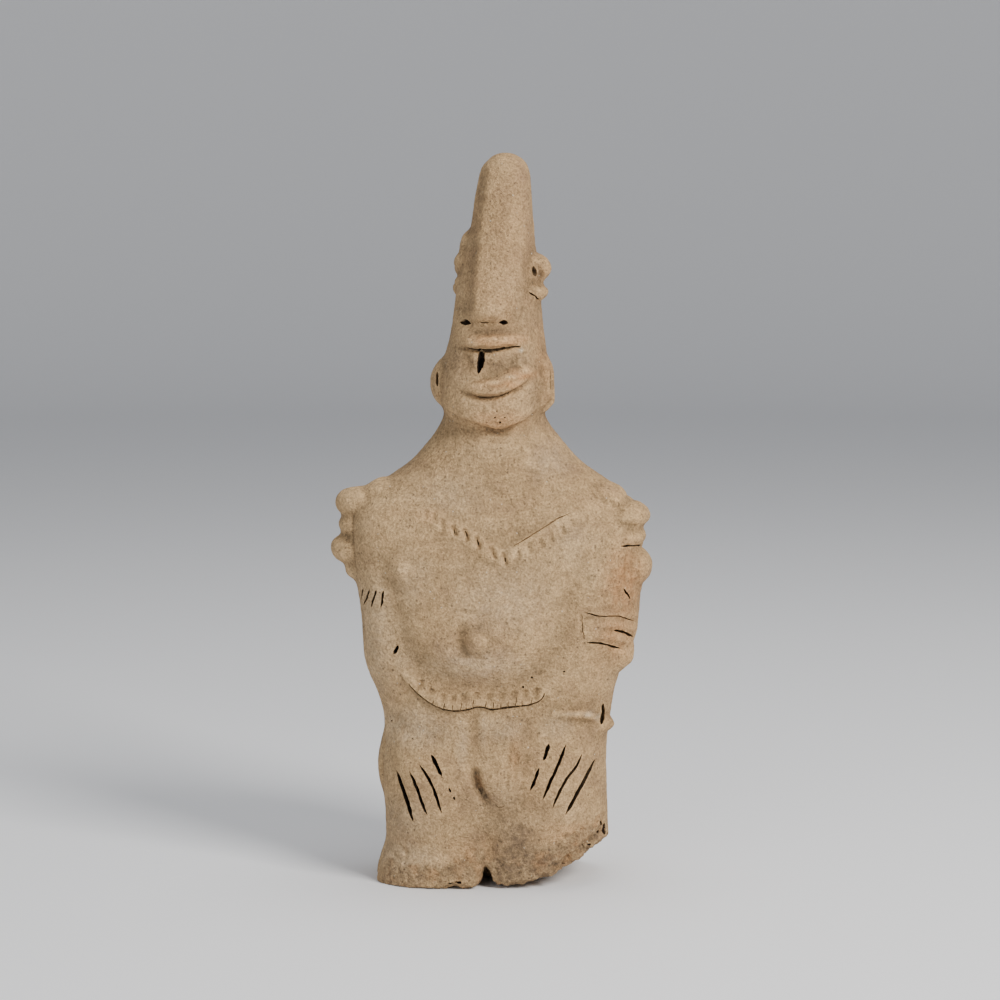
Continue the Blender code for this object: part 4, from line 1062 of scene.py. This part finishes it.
def paintClay():
    look = clayLook
    paint = Paint("firedClay")
    place = paint.node("ShaderNodeTexCoord", 3)
    tones = paint.noise(place, look["tones"], 5, 0.6, 0.4)
    mottling = paint.noise(place, look["mottling"], 4, 0.6)
    stretched = paint.node("ShaderNodeMapping", Vector=place, Scale=(0.35, 0.35, 1.6))
    streaks = paint.noise(stretched, look["streaks"], 4, 0.6, 0.8)
    sand = paint.noise(place, look["sand"], 3, 0.65)
    fine = paint.noise(place, look["fine"], 1, 0.5)
    lumps = paint.noise(place, look["lumps"], 4, 0.65)
    broken, cut = paint.mark("broken"), paint.mark("cut")

    tone = paint.sum("ADD", paint.times(mottling, 0.3), paint.times(streaks, 0.2))
    tone = paint.sum("ADD", paint.times(tones, 0.5), tone)
    colour = paint.blend(paint.span(tone, 0.34, 0.5), look["deep"], look["middle"])
    colour = paint.blend(paint.span(tone, 0.48, 0.66), colour, look["light"])

    # scorching and stains, with painted shade, painted light and painted highlights among them; then the
    # ridges painted lighter and the hollows painted darker as shading
    ragged = paint.span(paint.noise(place, look["ragged"], 4, 0.65), 0.35, 0.62, 0.4)
    for name, strength in (("warm", 0.85), ("rubbedAndHighlit", 0.85), ("darkAndShade", 0.85), ("paleAndLit", 0.8)):
        share = paint.times(paint.mark(name), paint.times(ragged, strength))
        colour = paint.blend(paint.sum("MINIMUM", share, 0.9), colour, look[name])
    reliefShading = paint.span(paint.mark("reliefShading"), 0.1, 0.8, 0.72, 1.12)
    broadShading = paint.span(paint.mark("broadReliefShading"), 0.0, 0.8, 0.88, 1.04)
    colour = paint.blend(1.0, colour, paint.grey(paint.times(reliefShading, broadShading)), "MULTIPLY")

    # the raw break shows darker, coarser clay
    chunks = paint.noise(place, look["chunks"], 4, 0.7)
    raw = paint.blend(paint.span(chunks, 0.4, 0.6), look["darkAndShade"], look["light"])
    patches = paint.span(paint.noise(place, look["patches"], 4), 0.5, 0.66, 0.0, 0.7)
    raw = paint.blend(patches, raw, look["warm"])
    colour = paint.blend(paint.times(broken, 0.6), colour, raw)

    # sand grains, dark grit and quartz
    grain = paint.span(sand, 0.25, 0.75, 1 - look["sandContrast"], 1 + look["sandContrast"])
    grain = paint.times(grain, paint.span(fine, 0.2, 0.8, 0.84, 1.16))
    grain = paint.times(grain, paint.span(lumps, 0.3, 0.7, 0.8, 1.16))
    colour = paint.blend(1.0, colour, paint.grey(grain), "MULTIPLY")
    ragPlace = paint.tree.nodes.new("ShaderNodeVectorMath")
    ragPlace.operation = "MULTIPLY_ADD"
    paint.put(ragPlace.inputs[0], paint.node("ShaderNodeTexNoise", 1, Vector=place, Scale=look["jitter"]))
    ragPlace.inputs[1].default_value = (look["jitterReach"],) * 3
    paint.put(ragPlace.inputs[2], place)
    specks = []
    for size, rarity, reach in ((look["gritSize"], 0.92, 0.36), (look["quartzSize"], 0.975, 0.24)):
        cell = paint.tree.nodes.new("ShaderNodeTexVoronoi")
        paint.put(cell.inputs["Vector"], ragPlace.outputs[0])
        paint.put(cell.inputs["Scale"], float(size))
        chance = paint.node("ShaderNodeSeparateColor", Color=cell.outputs["Color"])
        chosen = paint.span(chance, rarity - 0.01, rarity + 0.01)
        specks.append(paint.times(chosen, paint.span(cell.outputs["Distance"], reach, reach * 0.6)))
    colour = paint.blend(paint.times(specks[0], 0.6), colour, look["grit"])
    colour = paint.blend(paint.times(specks[1], 0.8), colour, look["quartz"])
    # painted shade laid into the slits, darker the deeper the face lies
    slitShaded = paint.times(cut, paint.sum("SUBTRACT", 1.0, paint.mark("thinSlitShade")))
    slitShaded = paint.times(slitShaded, paint.span(lumps, 0.36, 0.5, 0.8, 1.0))
    colour = paint.blend(slitShaded, colour, look["slitShade"])
    paint.put(paint.shader.inputs["Base Color"], colour)
    paint.put(paint.shader.inputs["Roughness"], paint.span(mottling, 0.3, 0.7, 0.82, 0.97))
    paint.put(paint.shader.inputs["Specular IOR Level"], 0.25)

    # the height of the surface: sand, grit standing proud, pits, and gritty crumbs on the break
    pits = paint.span(paint.noise(place, look["pits"], 3, 0.6), 0.34, 0.44, -1.0, 0.0)
    height = paint.times(sand, 1.5)
    for layer, amount in ((fine, 0.5), (lumps, 1.6), (pits, 0.5), (specks[0], 0.4)):
        height = paint.sum("ADD", height, paint.times(layer, amount))
    height = paint.sum("ADD", height, paint.times(chunks, paint.times(broken, 4.0)))
    bump = paint.node("ShaderNodeBump", Height=height, Strength=0.9, Distance=look["bump"])
    paint.put(paint.shader.inputs["Normal"], bump)
    return paint.material


camera = {"lens": 36 * 1.6 / 0.522, "distance": 1.6, "elevation": 6, "right": 0.0044, "up": 0.0094}


def setCamera():
    aim = (cadLow + cadHigh) / 2 + Vector((camera["right"], 0, camera["up"]))
    rise = math.radians(camera["elevation"])
    offset = Vector((0, -math.cos(rise), math.sin(rise)))
    bpy.ops.object.camera_add(location=aim + offset * camera["distance"])
    eye = bpy.context.object
    eye.data.lens = camera["lens"]
    eye.data.sensor_width = 36
    eye.rotation_euler = (-offset).to_track_quat("-Z", "Y").to_euler()
    bpy.context.scene.camera = eye


studio = {
    "key": {"at": (1.12, -1.3, 1.28), "size": 0.7, "power": 49, "colour": (1.0, 0.98, 0.95)},
    "fill": {"at": (-0.9, -1.6, 0.6), "size": 1.2, "power": 8, "colour": (0.86, 0.93, 1.0)},
    "top": {"at": (0.1, 0.2, 1.7), "size": 1.0, "power": 9, "colour": (1, 1, 1)},
    "sky": (0.62, 0.64, 0.68), "skyStrength": 0.45, "floor": (0.9, 0.9, 0.91), "floorReach": 3.2,
    "coveSteps": 8,  # the rim rises in a quarter round one metre high
}


def setStudio():
    middle = (cadLow + cadHigh) / 2
    for name in ("key", "fill", "top"):
        lamp = studio[name]
        bpy.ops.object.light_add(type="AREA", location=lamp["at"])
        light = bpy.context.object
        light.name = name
        light.data.energy = lamp["power"]
        light.data.size = lamp["size"]
        light.data.color = lamp["colour"]
        light.rotation_euler = (middle - light.location).to_track_quat("-Z", "Y").to_euler()
    world = bpy.data.worlds.new("studioSky")
    world.use_nodes = True
    sky = world.node_tree.nodes["Background"]
    sky.inputs["Color"].default_value = (*studio["sky"], 1)
    sky.inputs["Strength"].default_value = studio["skyStrength"]
    bpy.context.scene.world = world
    deselectAll()
    bpy.ops.mesh.primitive_circle_add(
        vertices=96, radius=studio["floorReach"], fill_type="NGON", location=(0, 0, cadLow.z))
    floor = bpy.context.object
    floor.name = "floor"
    bpy.ops.object.mode_set(mode="EDIT")  # the floor's rim is drawn up into a low pale cove all round
    for k in range(studio["coveSteps"]):
        last, turn = (step * math.pi / 2 / studio["coveSteps"] for step in (k, k + 1))
        reach = studio["floorReach"] + math.sin(turn)
        was = studio["floorReach"] + math.sin(last)
        bpy.ops.mesh.extrude_region_move(
            TRANSFORM_OT_translate={"value": (0, 0, math.cos(last) - math.cos(turn))})
        bpy.ops.transform.resize(value=(reach / was, reach / was, 1))
    bpy.ops.mesh.delete(type="ONLY_FACE")
    bpy.ops.object.mode_set(mode="OBJECT")
    bpy.ops.object.shade_smooth()
    paint = bpy.data.materials.new("palePaper")
    paint.use_nodes = True
    shader = paint.node_tree.nodes["Principled BSDF"]
    shader.inputs["Base Color"].default_value = (*studio["floor"], 1)
    shader.inputs["Roughness"].default_value = 0.85
    floor.data.materials.append(paint)


setCamera()
setStudio()
print("studio and camera set")
clay = makeMasses()
thumbBroadForms(clay)
clay = putOnLumps(clay)
print("masses fused, thumbed and lumps put on", len(clay.data.vertices))
clay = dressFigure(clay)
print("necklaces, bracelet and ear plate laid on", len(clay.data.vertices))
unbroken = BVHTree.FromObject(clay, bpy.context.evaluated_depsgraph_get())
clay = breakUnderside(clay)
print("underside broken away", len(clay.data.vertices))
roughenSkin(clay, unbroken)
pressLines(clay)
print("skin roughened and lines pressed")
thinOut(clay)
uncut = BVHTree.FromObject(clay, bpy.context.evaluated_depsgraph_get())
cutSlits(clay)
clay.data.calc_loop_triangles()
print("slits cut, triangles", len(clay.data.loop_triangles))
markClay(clay, uncut, unbroken)
fitToBox(clay)
clay.data.materials.clear()
clay.data.materials.append(paintClay())
print("fitted and painted", len(clay.data.polygons))
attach(clay, "root")
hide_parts("figure")
